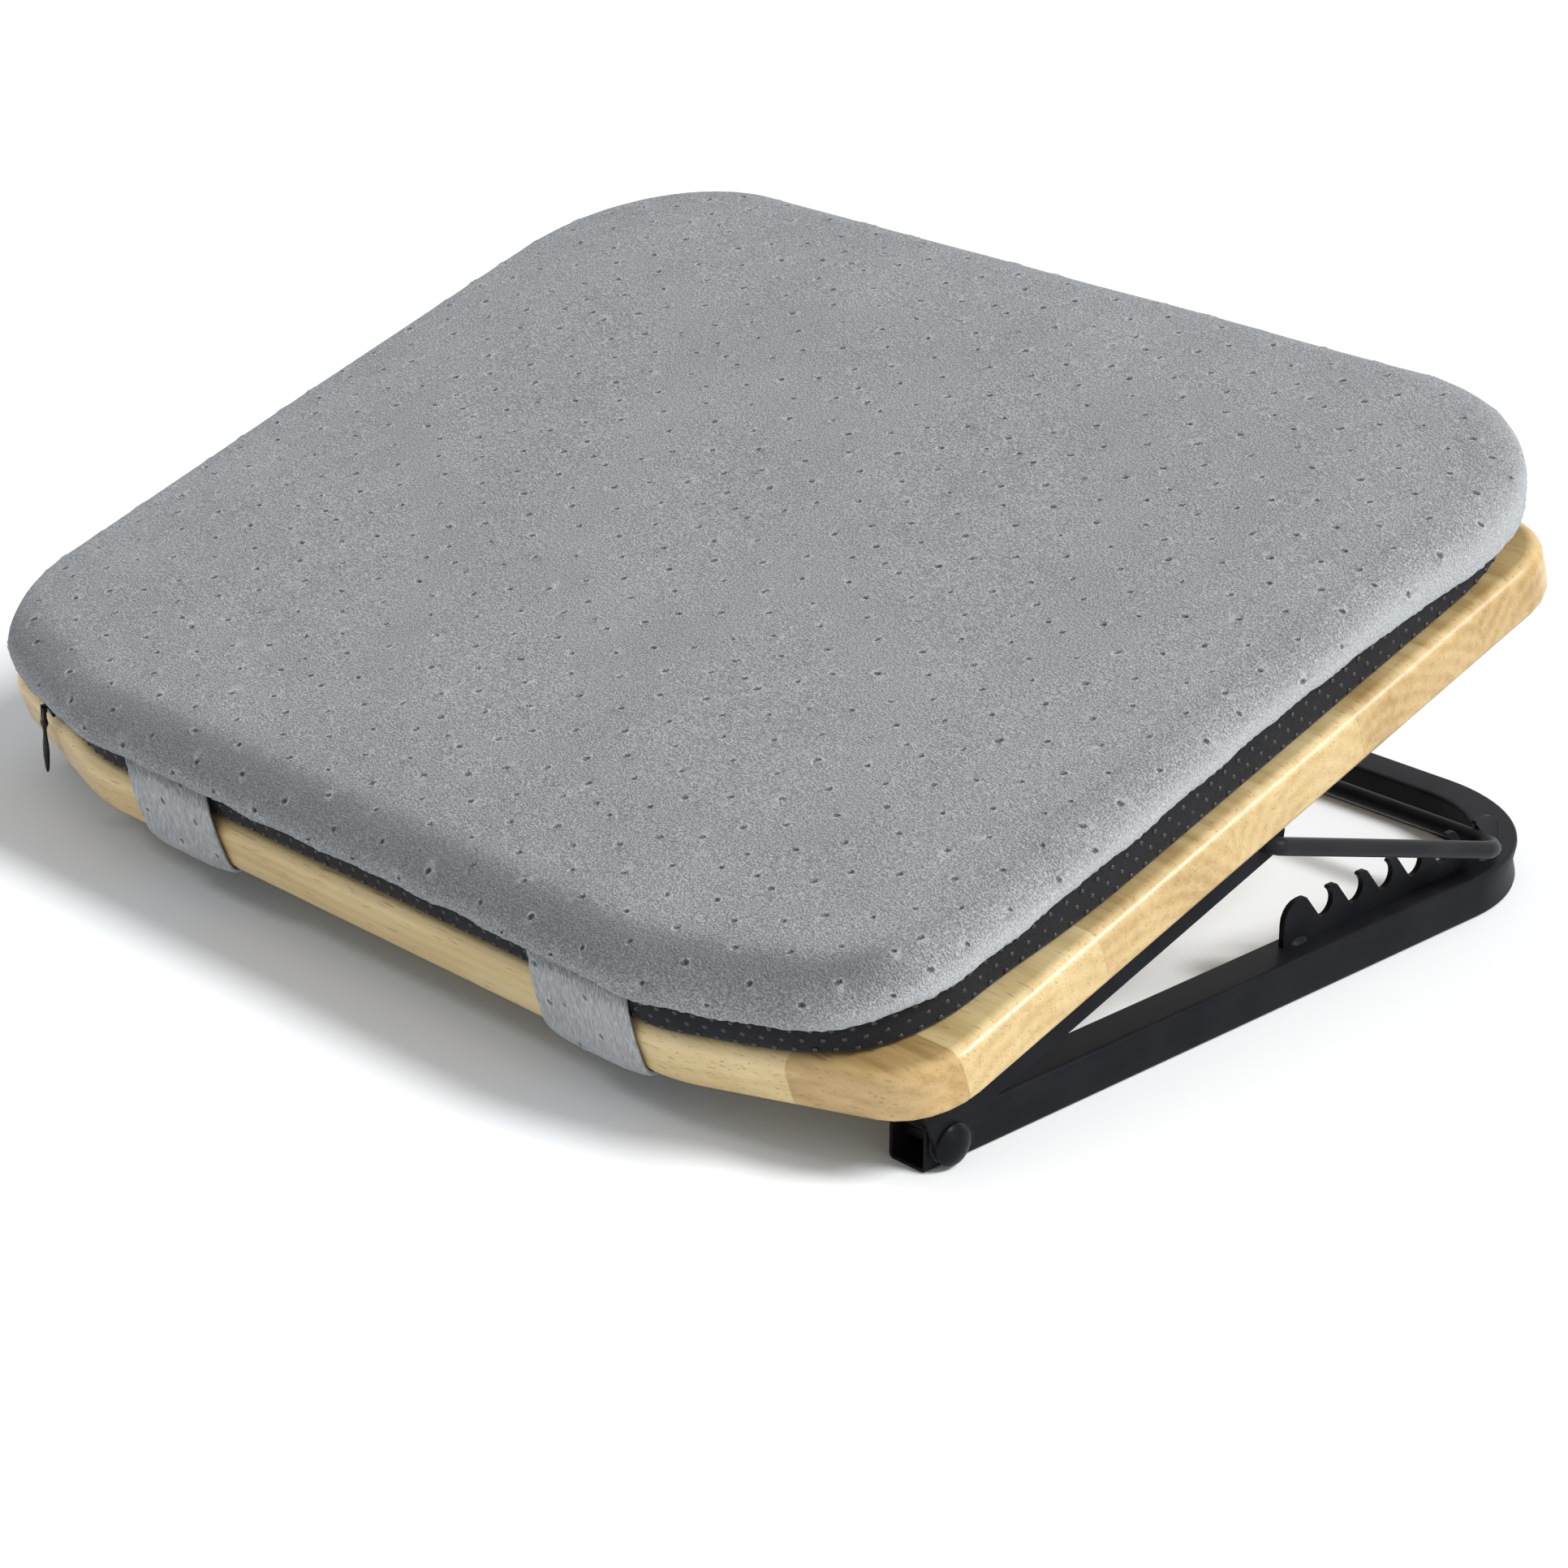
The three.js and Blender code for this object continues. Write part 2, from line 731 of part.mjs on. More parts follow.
function strap(middle) {
  const inner = strapPath();
  const outer = inner.map((p, i) => {
    const before = inner[Math.max(i - 1, 0)];
    const after = inner[Math.min(i + 1, inner.length - 1)];
    const along = after.clone().sub(before).normalize();
    return new THREE.Vector2(p.x + along.y * strap_thick, p.y - along.x * strap_thick);
  });
  return sidePlate(inner.concat(outer.reverse()), middle - strap_width / 2, strap_width);
}

// Hook tape that holds a strap's tail to the underside.
function strapPatch(middle) {
  const width = strap_width - 2 * strap_thick;
  return box(width, patch_length, patch_thick).translate(
    middle, strap_tail - patch_length / 2, -rest_gap - patch_thick / 2);
}

// Zip

// The tape runs along the left seam, from the slider round the corner to the rear.
function zipTape() {
  const outline = (inset) => new THREE.Shape(insetOutline(cushion_corners, inset));
  const ring = outline(grip_inset - rest_gap - tape_thick);
  ring.holes.push(outline(grip_inset - rest_gap));
  const band = indexed(new THREE.ExtrudeGeometry(ring, { depth: tape_height, bevelEnabled: false }));
  const reach = cushion_half - slider_from_middle + slider_length;
  const keep = box(reach, tape_rear - cushion_front, board_depth).translate(
    -cushion_half + reach / 2 - slider_length / 2, (tape_rear + cushion_front) / 2, 0);
  return overlapOf(band.translate(0, 0, tape_low), keep);
}

// Inside this group x runs along the slanted seam and -y points out of it.
const seam_slope = Math.atan2(front_cut, cushion_half - cushion_straight / 2);
const seam_back = (slider_from_middle - cushion_straight / 2) * Math.tan(seam_slope);
const seam = new THREE.Group();
seam.position.set(-slider_from_middle + grip_inset * Math.sin(seam_slope),
  cushion_front + seam_back + grip_inset * Math.cos(seam_slope),
  tape_low + tape_height / 2);
seam.rotation.z = -seam_slope;
board.add(seam);
seam.updateWorldMatrix(true, false);

// The pull hangs plumb, so its group is level and only follows the seam in plan.
const slider_back = 2 * rest_gap + tape_thick;
const pin_out = slider_back + slider_thick + lug_reach - lug_end;
const seam_out = new THREE.Vector3(0, -1, 0).transformDirection(seam.matrixWorld);
const pull = new THREE.Group();
pull.position.copy(seam.localToWorld(new THREE.Vector3(0, -pin_out, 0)));
pull.rotation.z = Math.atan2(seam_out.x, -seam_out.y);
footrest.add(pull);
pull.updateWorldMatrix(true, false);

// Its lug and pin hole line up with the pull, not with the slider's own body.
function zipSlider() {
  const to_seam = seam.matrixWorld.clone().invert().multiply(pull.matrixWorld);
  const body = box(slider_length, slider_thick, slider_height)
    .translate(0, -slider_back - slider_thick / 2, 0);
  const lug = box(lug_width, lug_reach, lug_height)
    .translate(0, lug_reach / 2 - lug_end, 0).applyMatrix4(to_seam);
  const hole = barX(pin_radius + running_gap, -slider_length, slider_length, 0, 0).applyMatrix4(to_seam);
  return cut(join([body, lug]), [hole]);
}

// The pull is a flat tab with a knob, hung by a fork and its pin.
function zipPull() {
  const knob_shares = [[0.02, 0.45], [0.035, 0.75], [0.07, 0.95], [0.105, 1], [0.14, 0.92], [0.175, 0.66]];
  const tab_shares = [[0.24, 0.46], [0.34, 0.52], [0.46, 0.7], [0.58, 0.8], [0.7, 0.76],
    [0.84, 0.62], [0.94, 0.48], [1, 0.24]];
  const hang = pull_length - pull_fork;
  const loops = knob_shares.concat(tab_shares).map(([down, half]) => (
    Array.from({ length: rod_sides }, (_, s) => {
      const angle = 2 * Math.PI * s / rod_sides;
      const wide = pull_half * half;
      return new THREE.Vector3(wide * Math.cos(angle), wide * pull_flat_share * Math.sin(angle),
        -pull_fork - hang * down);
    })));
  const prong_x = lug_width / 2 + rest_gap + prong_width / 2;
  const prong_height = pull_fork + hang * knob_shares[2][0] + prong_depth / 2;
  const prongs = [-1, 1].map((side) => box(prong_width, prong_depth, prong_height)
    .translate(side * prong_x, 0, prong_depth / 2 - prong_height / 2));
  const pin = barX(pin_radius, -prong_x, prong_x, 0, 0, small_sides);
  return join([skinLoops(loops), pin, ...prongs]);
}

// Assembly

function addPiece(parent, name, geometry, paint) {
  const shown = geometry.toNonIndexed();
  shown.computeVertexNormals();
  const mesh = new THREE.Mesh(shown, new THREE.MeshStandardMaterial(paints[paint]));
  mesh.name = name;
  parent.add(mesh);
}

addPiece(footrest, 'base_tube', frameTube(), 'frame');
addPiece(board, 'board_panel', boardPanel(), 'wood');
addPiece(board, 'cushion_cover', cushionCover(), 'velour');
addPiece(board, 'cushion_foam', foamPad(), 'foam');
addPiece(board, 'grip_base', gripBase(), 'grip');
addPiece(board, 'zipper_tape', zipTape(), 'tape');
addPiece(seam, 'zipper_slider', zipSlider(), 'pull');
addPiece(pull, 'zipper_pull', zipPull(), 'pull');
addPiece(prop, 'prop_rod', propRod(), 'rod');

for (const [name, side, strap_middle] of [['left', -1, strap_left], ['right', 1, strap_right]]) {
  addPiece(footrest, `rack_${name}`, rack(side), 'frame');
  const weld_front = notchY(0) - rack_lead + weld_inset;
  const weld_rear = notchY(notch_count - 1) + rack_tail - weld_inset;
  addPiece(footrest, `rack_weld_${name}_front`, rackWeld(side, weld_front), 'frame');
  addPiece(footrest, `rack_weld_${name}_rear`, rackWeld(side, weld_rear), 'frame');
  addPiece(footrest, `pivot_rivet_${name}`, rivet(side), 'rivet');
  addPiece(footrest, `pivot_washer_${name}`, hingeWasher(side), 'nylon');
  addPiece(footrest, `pivot_collar_${name}`, rivetCollar(side), 'zinc');
  addPiece(prop, `prop_clip_${name}`, propClip(side), 'zinc');
  addPiece(board, `rail_${name}`, rail(side), 'rail');
  addPiece(board, `strap_${name}`, strap(strap_middle), 'velour');
  addPiece(board, `strap_patch_${name}`, strapPatch(strap_middle), 'tape');
  screwBacks().forEach((back, i) => {
    addPiece(board, `rail_screw_${name}_${i + 1}`, screw(side, back), 'zinc');
  });
}

export default footrest;
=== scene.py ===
"""Looks for a tilting under-desk footrest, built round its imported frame.

Pieces on the board are laid out in board millimetres: x across, v back from the low edge,
n up from the underside. They are moved into the row frame, in metres, when their mesh is made.
"""

import math

import bpy
import numpy as np
from mathutils import Matrix, Vector, geometry, kdtree


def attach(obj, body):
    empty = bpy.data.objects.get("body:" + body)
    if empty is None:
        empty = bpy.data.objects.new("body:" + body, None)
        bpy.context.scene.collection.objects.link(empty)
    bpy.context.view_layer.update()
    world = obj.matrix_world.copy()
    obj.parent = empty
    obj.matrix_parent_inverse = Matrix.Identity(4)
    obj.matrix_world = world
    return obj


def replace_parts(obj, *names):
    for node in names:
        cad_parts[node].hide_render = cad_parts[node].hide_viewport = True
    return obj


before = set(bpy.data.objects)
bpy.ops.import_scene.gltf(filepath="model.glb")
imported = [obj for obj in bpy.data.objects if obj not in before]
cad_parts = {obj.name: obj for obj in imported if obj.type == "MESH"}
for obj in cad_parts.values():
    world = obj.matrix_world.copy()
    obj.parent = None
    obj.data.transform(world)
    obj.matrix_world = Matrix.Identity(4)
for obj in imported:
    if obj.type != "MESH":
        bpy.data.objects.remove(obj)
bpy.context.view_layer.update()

MM = 0.001

# The hinge in the row frame and on the board, in metres, and the board's slope at rest
TILT = math.radians(18.2)
PIVOT = Vector((0, -0.3015, 0.0082))
PIVOT_V, PIVOT_N = 0.038, -0.0198
BOARD = Matrix.Translation(PIVOT) @ Matrix.Rotation(TILT, 4, "X") @ Matrix.Translation((0, -PIVOT_V, -PIVOT_N))

# The cushion's outline in board millimetres, counterclockwise, each corner with its radius
STRAIGHT_HALF, FRONT_V, HALF_WIDTH, REAR_V = 140.0, -1.5, 225.5, 356.0
FRONT_CUT, CUT_ROUND, SIDE_ROUND, RIGHT_ROUND, REAR_ROUND = 24.0, 80.0, 47.0, 50.0, 74.0
CUSHION = [
    (-STRAIGHT_HALF, FRONT_V, CUT_ROUND),
    (STRAIGHT_HALF, FRONT_V, CUT_ROUND),
    (HALF_WIDTH, FRONT_V + FRONT_CUT, RIGHT_ROUND),
    (HALF_WIDTH, REAR_V, REAR_ROUND),
    (-HALF_WIDTH, REAR_V, REAR_ROUND),
    (-HALF_WIDTH, FRONT_V + FRONT_CUT, SIDE_ROUND),
]

rng = np.random.default_rng(7)


# Meshes

LEAST_RADIUS, LEAST_STEPS, LEAST_LENGTH = 0.5, 3, 1e-12


def to_row_frame(points_mm):
    """Board millimetres to the row frame in metres."""
    m = np.array(BOARD)
    return np.asarray(points_mm, float) * MM @ m[:3, :3].T + m[:3, 3]


def make_piece(name, points_mm, faces, material):
    """A smooth mesh piece that rides on the board."""
    mesh = bpy.data.meshes.new(name)
    points = to_row_frame(points_mm)
    mesh.from_pydata([tuple(p) for p in points], [], [tuple(int(i) for i in f) for f in faces])
    mesh.validate()
    mesh.polygons.foreach_set("use_smooth", [True] * len(mesh.polygons))
    mesh.update()
    piece = bpy.data.objects.new(name, mesh)
    bpy.context.scene.collection.objects.link(piece)
    mesh.materials.append(material)
    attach(piece, "board")
    return piece


def keep_attribute(piece, name, values):
    made = piece.data.attributes.new(name, "FLOAT", "POINT")
    made.data.foreach_set("value", np.asarray(values, np.float32))


def path_length(points):
    """How far along a path each of its points lies."""
    return np.concatenate([[0], np.cumsum(np.linalg.norm(np.diff(points, axis=0), axis=1))])


def plan_tree(points):
    """A search tree over (x, v) points."""
    tree = kdtree.KDTree(len(points))
    for i, p in enumerate(points):
        tree.insert((p[0], p[1], 0), i)
    tree.balance()
    return tree


def rounded(corners, inset=0.0, spacing=0.5):
    """Points and outward normals along a convex outline that is moved inward and rounded."""
    count = len(corners)
    sides = []
    for i in range(count):
        here, ahead = np.array(corners[i][:2]), np.array(corners[(i + 1) % count][:2])
        along = (ahead - here) / np.linalg.norm(ahead - here)
        sides.append((here + inset * np.array([-along[1], along[0]]), along))
    points, normals = [], []
    arcs = []
    for i in range(count):
        (p, a), (q, b) = sides[i - 1], sides[i]
        reach = ((q - p)[0] * b[1] - (q - p)[1] * b[0]) / (a[0] * b[1] - a[1] * b[0])
        corner = p + a * reach
        radius = max(corners[i][2] - inset, LEAST_RADIUS)
        turn = math.acos(max(-1.0, min(1.0, float(a @ b))))
        lead = radius * math.tan(turn / 2)
        centre = corner - a * lead + radius * np.array([-a[1], a[0]])
        arcs.append((centre, radius, math.atan2(-a[0], a[1]), turn))
    for i, (centre, radius, start, turn) in enumerate(arcs):
        steps = max(LEAST_STEPS, int(round(radius * turn / spacing)))
        for s in range(steps):
            angle = start + turn * s / steps
            normal = np.array([math.cos(angle), math.sin(angle)])
            points.append(centre + radius * normal)
            normals.append(normal)
        angle = start + turn
        normal = np.array([math.cos(angle), math.sin(angle)])
        end = centre + radius * normal
        next_centre, next_radius = arcs[(i + 1) % count][:2]
        target = next_centre + next_radius * normal
        steps = max(1, int(round(np.linalg.norm(target - end) / spacing)))
        for s in range(steps):
            points.append(end + (target - end) * s / steps)
            normals.append(normal)
    return np.array(points), np.array(normals)


def skin(loops, close_ends=True):
    """Points and faces that join equal closed loops one after another."""
    size = len(loops[0])
    points = np.concatenate(loops)
    faces = []
    for row in range(len(loops) - 1):
        for i in range(size):
            j = (i + 1) % size
            faces.append((row * size + i, row * size + j, (row + 1) * size + j, (row + 1) * size + i))
    if close_ends:
        faces.append(tuple(range(size - 1, -1, -1)))
        faces.append(tuple((len(loops) - 1) * size + i for i in range(size)))
    return points, faces


def join(parts):
    """One set of points and faces from several."""
    points, faces = [], []
    for part_points, part_faces in parts:
        faces += [tuple(len(points) + i for i in face) for face in part_faces]
        points += list(part_points)
    return np.array(points), faces


def vertex_normals(points, faces):
    tri = np.array([f[:3] for f in faces])
    a, b, c = points[tri[:, 0]], points[tri[:, 1]], points[tri[:, 2]]
    face = np.cross(b - a, c - a)
    out = np.zeros_like(points)
    for k in range(3):
        np.add.at(out, tri[:, k], face)
    return out / np.maximum(np.linalg.norm(out, axis=1, keepdims=True), LEAST_LENGTH)


def smooth_step(share):
    share = np.clip(share, 0, 1)
    return share * share * (3 - 2 * share)


def fade(value, start, end):
    """Rises smoothly from 0 at start to 1 at end. The end may be the lower of the two."""
    return smooth_step((value - start) / (end - start))


def hill(value, middle, reach):
    """A smooth hill, 1 high."""
    return np.exp(-((value - middle) / reach) ** 2)


def waves(along, seed, lengths):
    """A smooth wander along a path, between about -1 and 1."""
    local = np.random.default_rng(seed)
    total = np.zeros_like(along)
    for length in lengths:
        total += np.sin(2 * math.pi * along / length + local.uniform(0, 2 * math.pi))
    return total / len(lengths)


def wander(along, *layers):
    """The sum of several waves, each given as its height, seed and lengths."""
    return sum(height * waves(along, seed, lengths) for height, seed, lengths in layers)


# Velour with pits

# The cloth's repeat: its two steps, its origin and the places of its pits as shares of the steps
PIT_ACROSS, PIT_DOWN = np.array([71.91, 1.04]), np.array([3.61, 68.50])
PIT_ORIGIN = np.array([-185.8, -324.4])
PIT_REPEATS = range(-6, 9)
PIT_TILE = [
    (.31, .05), (.49, .01), (.60, .04), (.92, .04), (.10, .146), (.43, .21), (.78, .16),
    (.205, .295), (.585, .265), (.93, .285), (.386, .42), (.697, .382), (.107, .456),
    (.54, .54), (.857, .486), (.245, .575), (.027, .682), (.384, .70), (.693, .66),
    (.223, .807), (.53, .80), (.84, .786), (.10, .946), (.357, .93), (.736, .91)]
# Rings of one pit: half width, half length, height above the cloth, and painted shade in the hole, below 0 a painted
# highlight on its lip
PIT_RINGS = [(0.45, 0.34, -0.5, 1.1), (0.95, 0.62, -0.2, 0.75), (1.45, 1.0, 0.18, -0.25), (2.2, 1.7, 0.06, 0.0)]
PIT_DEPTH, PIT_SIDES, PIT_CLEAR = -0.6, 8, 2.6
# How much pits differ: their turn and its spread, their least and largest size, and the unevenness of
# a ring's height and painted shade, the latter fading with the ring's length
PIT_TURN, PIT_TURN_SPREAD, PIT_SIZES = 0.6, 0.3, (0.85, 1.2)
PIT_ROUGH, PIT_RUFFLE, PIT_RUFFLE_FADE = 0.1, 0.36, 0.6
SAME_POINT = 1e-6


def pit_places(low, high):
    """The pits of the cloth's repeat inside a box, as (x, v)."""
    places = []
    for i in PIT_REPEATS:
        for j in PIT_REPEATS:
            for s, t in PIT_TILE:
                x, down = PIT_ORIGIN + PIT_ACROSS * (s + i) + PIT_DOWN * (t + j)
                if low[0] < x < high[0] and low[1] < -down < high[1]:
                    places.append((x, -down))
    return np.array(places)


def pitted_net(base, pits):
    """A triangle net through base points and pits. Gives flat points, heights, the pits' painted shade and lip
    highlight, and faces.
    """
    tree = plan_tree(pits)
    keep = [tree.find((p[0], p[1], 0))[2] > PIT_CLEAR for p in base]
    flat, height, dark = [base[keep]], [np.zeros(sum(keep))], [np.zeros(sum(keep))]
    turns = np.arange(PIT_SIDES) * 2 * math.pi / PIT_SIDES
    for p in pits:
        lean, size = rng.normal(PIT_TURN, PIT_TURN_SPREAD), rng.uniform(*PIT_SIZES)
        flat.append(p[None])
        height.append(np.array([PIT_DEPTH * size]))
        dark.append(np.ones(1))
        for half_wide, half_long, up, darkness in PIT_RINGS:
            x, y = half_wide * np.cos(turns), half_long * np.sin(turns)
            ring = np.stack([x * math.cos(lean) - y * math.sin(lean), x * math.sin(lean) + y * math.cos(lean)], 1)
            flat.append(p + ring * size)
            height.append(up * size + PIT_ROUGH * rng.normal(0, 1, PIT_SIDES))
            dark.append(darkness + PIT_RUFFLE / (PIT_RUFFLE_FADE + half_long) * rng.normal(0, 1, PIT_SIDES))
    flat, height, dark = np.concatenate(flat), np.concatenate(height), np.concatenate(dark)
    result = geometry.delaunay_2d_cdt([Vector(p) for p in flat], [], [], 0, SAME_POINT)
    order = [ids[0] for ids in result[3]]
    return flat[order], height[order], dark[order], result[2]


# Cushion cover

# Run and reach of its round edge, start, rise and run of its crown, and the height of its widest line
EDGE_RUN, EDGE_OUT, CROWN_START, CROWN_RISE, CROWN_RUN, WIDEST_UP = 12.0, 12.3, 47.4, 2.6, 60.0, 35.4
EDGE_STEPS = 40
# The hem below the round edge, as (run, height)
HEM_SECTION = [
    (12.25, 32.2), (11.8, 31.0), (11.0, 30.1), (9.9, 29.75), (8.6, 29.75), (7.4, 29.9), (5.0, 29.9), (0.5, 29.9)]

# Extra height of the hem along the front, along the right, and what the right loses towards the rear
FRONT_RISE, RIGHT_RISE, REAR_LOSS = 2.4, 3.0, 1.3
# How far the hem droops at the rear and on the left, at most, and is drawn up at the front
REAR_DROOP, LEFT_DROOP, MOST_DROOP, FRONT_LIFT = 4.2, 3.6, 5.0, 0.7
# How far the side stands out at the rear right and the front, and in on the left, behind the right front
# corner and beside the left front corner
REAR_PUFF, FRONT_PUFF, LEFT_TUCK, CORNER_TUCK, LEFT_HOLLOW = 4.2, 1.3, 1.8, 2.0, 1.7
HEM_REACH = 5.0
# Where each of these sets in and is full, in board millimetres
RISE_X, LOSS_V, REAR_DROOP_V, LEFT_DROOP_X = (150, 100), (220, 300), (190, 280), (-150, -200)
PUFF_X, PUFF_V, TUCK_V = (140, 200), (250, 320), (10, 50)
# Middle and reach of the corner's pull and of the left hollow, and the pull's outward share
DRAW_V, HOLLOW_V, DRAW_OUT = (55, 28), (75, 50), (0.6, 0.9)
# How sharply each of these keeps to its side: gain and loss of the outline's outward share
FRONT_SIDE, RIGHT_SIDE, TUCK_SIDE, HOLLOW_SIDE = (3, 1.8), (2.5, 1.3), (1.5, 0.1), (1.5, 0.2)
LIP_WAVES = (0.35, 3, (61, 37, 23)), (0.3, 23, (11.3, 6.9, 4.3))
HEM_WAVES = (0.7, 5, (71, 43, 29)), (0.35, 29, (3.7, 2.9, 2.3))
SIDE_WAVES = (0.5, 9, (190, 130, 83))
# Shallow hollows of the foam: height and half waves across and back, and where they end outward of the core
BROAD_HOLLOWS, NARROW_HOLLOWS, HOLLOWS_END, HOLLOWS_FADE = (0.35, 61, 47), (0.2, 23, 31), 30, 60
HOLLOWS_SHIFT = 0.7, 0.2

# The net: its box, spacing, scatter and share of the spacing between rows, and the spacing along the hem
NET_LOW, NET_HIGH, NET_SPACING, NET_SCATTER, ROW_SHARE = (-290, -80), (290, 440), 3.3, 0.15, 0.866
RING_SPACING, HEM_SPACING, RING_CLEAR, SAME_RING = 3.4, 1.5, 1.5, 0.05
RING_STEPS = (33, 36, 39, *range(EDGE_STEPS, EDGE_STEPS + len(HEM_SECTION)))

# Painted shade along the front shoulder and face, partly the pile's lean: places in mm outward from the core, and the
# value there
FRONT_PAINTED_SHADE = ((-9, -4.5, -1.5, 1.5, 6, 11, 16, 20), (0, -0.36, -1.24, -1.7, -1.7, -1.1, -0.4, -0.1))
# What the front's painted shade loses on the left. The painted light high on the right side and its gain to the hem,
# where that side faces the lamp. A small lift of the whole top, and painted light that grows towards the right and the
# rear.
LEFT_EASE, RIGHT_PAINTED_LIGHT, RIGHT_GAIN, TOP_LIFT, ACROSS_PAINTED_LIGHT, BACK_PAINTED_LIGHT = 0.25, -0.3, 1.45, 0.02, 0.12, 0.1
# Where the painted light and shade set in: their sides, the left corner, the ease on the left and the outward distance
# on the right
FRONT_SHADE_SIDE, RIGHT_LIGHT_SIDE = (2.2, 0.6), (1.6, 0.3)
CORNER_OUT, EASE_X, RIGHT_LIGHT_AWAY = (-0.9, -0.3), (-90, -170), (-6, 6)


def edge_profile():
    """The cover's section outward from the core: run out, height, and how far the cloth has gone."""
    angles = np.linspace(math.pi / 2, 0, EDGE_STEPS)
    run = EDGE_OUT * np.cos(angles)
    up = WIDEST_UP + (CROWN_START - WIDEST_UP) * np.sin(angles)
    low_run, low_up = zip(*HEM_SECTION)
    run, up = np.append(run, low_run), np.append(up, low_up)
    gone = np.concatenate([[0], np.cumsum(np.hypot(np.diff(run), np.diff(up)))])
    return run, up, gone


core, core_out = rounded(CUSHION, EDGE_RUN)
core_tree = plan_tree(core)
core_length = path_length(core)
profile_run, profile_up, profile_gone = edge_profile()
# How far the cloth has gone at these steps of its section
UPPER_EDGE, PITS_END, EDGE_END, LIP, HEM_END = (profile_gone[i] for i in (16, 38, 39, 41, -1))


def facing(share, gain, loss):
    """1 where the outline faces a side, from its outward direction's share towards that side."""
    return smooth_step(share * gain - loss)


def to_front(out):
    return facing(-out[:, 1], *FRONT_SIDE)


def to_right(out):
    return facing(out[:, 0], *RIGHT_SIDE)


def hem_rise(place, out):
    """How far the hem stands above its plain height."""
    front = FRONT_RISE * to_front(out) * fade(place[:, 0], *RISE_X)
    return front + to_right(out) * (RIGHT_RISE - REAR_LOSS * fade(place[:, 1], *LOSS_V))


def corner_draw(place, out):
    """The pull of the cover behind the right front corner, from 0 to 1."""
    return hill(place[:, 1], *DRAW_V) * fade(out[:, 0], *DRAW_OUT)


def side_puff(place, out):
    """How far the cover's side stands out of its plain form."""
    puff = REAR_PUFF * fade(place[:, 0], *PUFF_X) * fade(place[:, 1], *PUFF_V)
    puff = puff - LEFT_TUCK * facing(-out[:, 0], *TUCK_SIDE) * fade(place[:, 1], *TUCK_V)
    puff = puff - CORNER_TUCK * corner_draw(place, out)
    puff = puff - LEFT_HOLLOW * facing(-out[:, 0], *HOLLOW_SIDE) * hill(place[:, 1], *HOLLOW_V)
    return puff + FRONT_PUFF * to_front(out)


def hollows(flat):
    """The shallow unevenness of the foam's top."""
    x, v = flat[:, 0], flat[:, 1]
    (broad, broad_x, broad_v), (narrow, narrow_x, narrow_v) = BROAD_HOLLOWS, NARROW_HOLLOWS
    deep = broad * np.sin(x / broad_x + HOLLOWS_SHIFT[0]) * np.sin(v / broad_v + HOLLOWS_SHIFT[1])
    return deep + narrow * np.sin(x / narrow_x + v / narrow_v)


def lay_on_cushion(flat):
    """Lays flat cloth points over the pad. Gives board millimetres, how far out each one lies and which way."""
    found = [core_tree.find((p[0], p[1], 0))[1] for p in flat]
    at, out, length = core[found], core_out[found], core_length[found]
    along = np.stack([-out[:, 1], out[:, 0]], 1)
    away = ((flat - at) * out).sum(1)
    aside = ((flat - at) * along).sum(1)
    inside = away <= 0
    gone = np.clip(away, 0, HEM_END)
    crown = CROWN_START + CROWN_RISE * np.sin(math.pi / 2 * np.clip(-away / CROWN_RUN, 0, 1))
    place = at + out * EDGE_RUN
    hem = hill(gone, LIP, HEM_REACH) * (~inside)
    droop = REAR_DROOP * fade(place[:, 1], *REAR_DROOP_V) + LEFT_DROOP * fade(place[:, 0], *LEFT_DROOP_X)
    lip = np.clip(droop, 0, MOST_DROOP) + wander(length, *LIP_WAVES)
    lip = lip - FRONT_LIFT * to_front(out) - hem_rise(place, out)
    up = np.interp(gone, profile_gone, profile_up) - lip * hem
    run = np.interp(gone, profile_gone, profile_run) * (1 + side_puff(place, out) / EDGE_RUN)
    run = run + hem * wander(length, *HEM_WAVES) + np.clip(gone / EDGE_RUN, 0, 1) * wander(length, SIDE_WAVES)
    plan = np.where(inside[:, None], flat, at + out * run[:, None] + along * aside[:, None])
    height = np.where(inside, crown, up) + hollows(flat) * np.clip((HOLLOWS_END - away) / HOLLOWS_FADE, 0, 1)
    return np.column_stack([plan, height]), away, out


def cover_nap_and_painted_light(flat, away, out):
    """Painted light and shade on the cover, partly the pile's lean, lighter above 0 and darker below: the front
    shoulder and face darker, the right side lighter towards the hem.
    """
    low = fade(away, UPPER_EDGE, LIP)
    front = facing(-out[:, 1], *FRONT_SHADE_SIDE) * fade(out[:, 0], *CORNER_OUT) * np.interp(away, *FRONT_PAINTED_SHADE)
    front = front * (1 - LEFT_EASE * fade(flat[:, 0], *EASE_X))
    right = facing(out[:, 0], *RIGHT_LIGHT_SIDE) * fade(away, *RIGHT_LIGHT_AWAY)
    lean = front + right * (RIGHT_GAIN * low + RIGHT_PAINTED_LIGHT) + TOP_LIFT
    return lean + ACROSS_PAINTED_LIGHT * flat[:, 0] / HALF_WIDTH + BACK_PAINTED_LIGHT * (flat[:, 1] / REAR_V - 0.5)


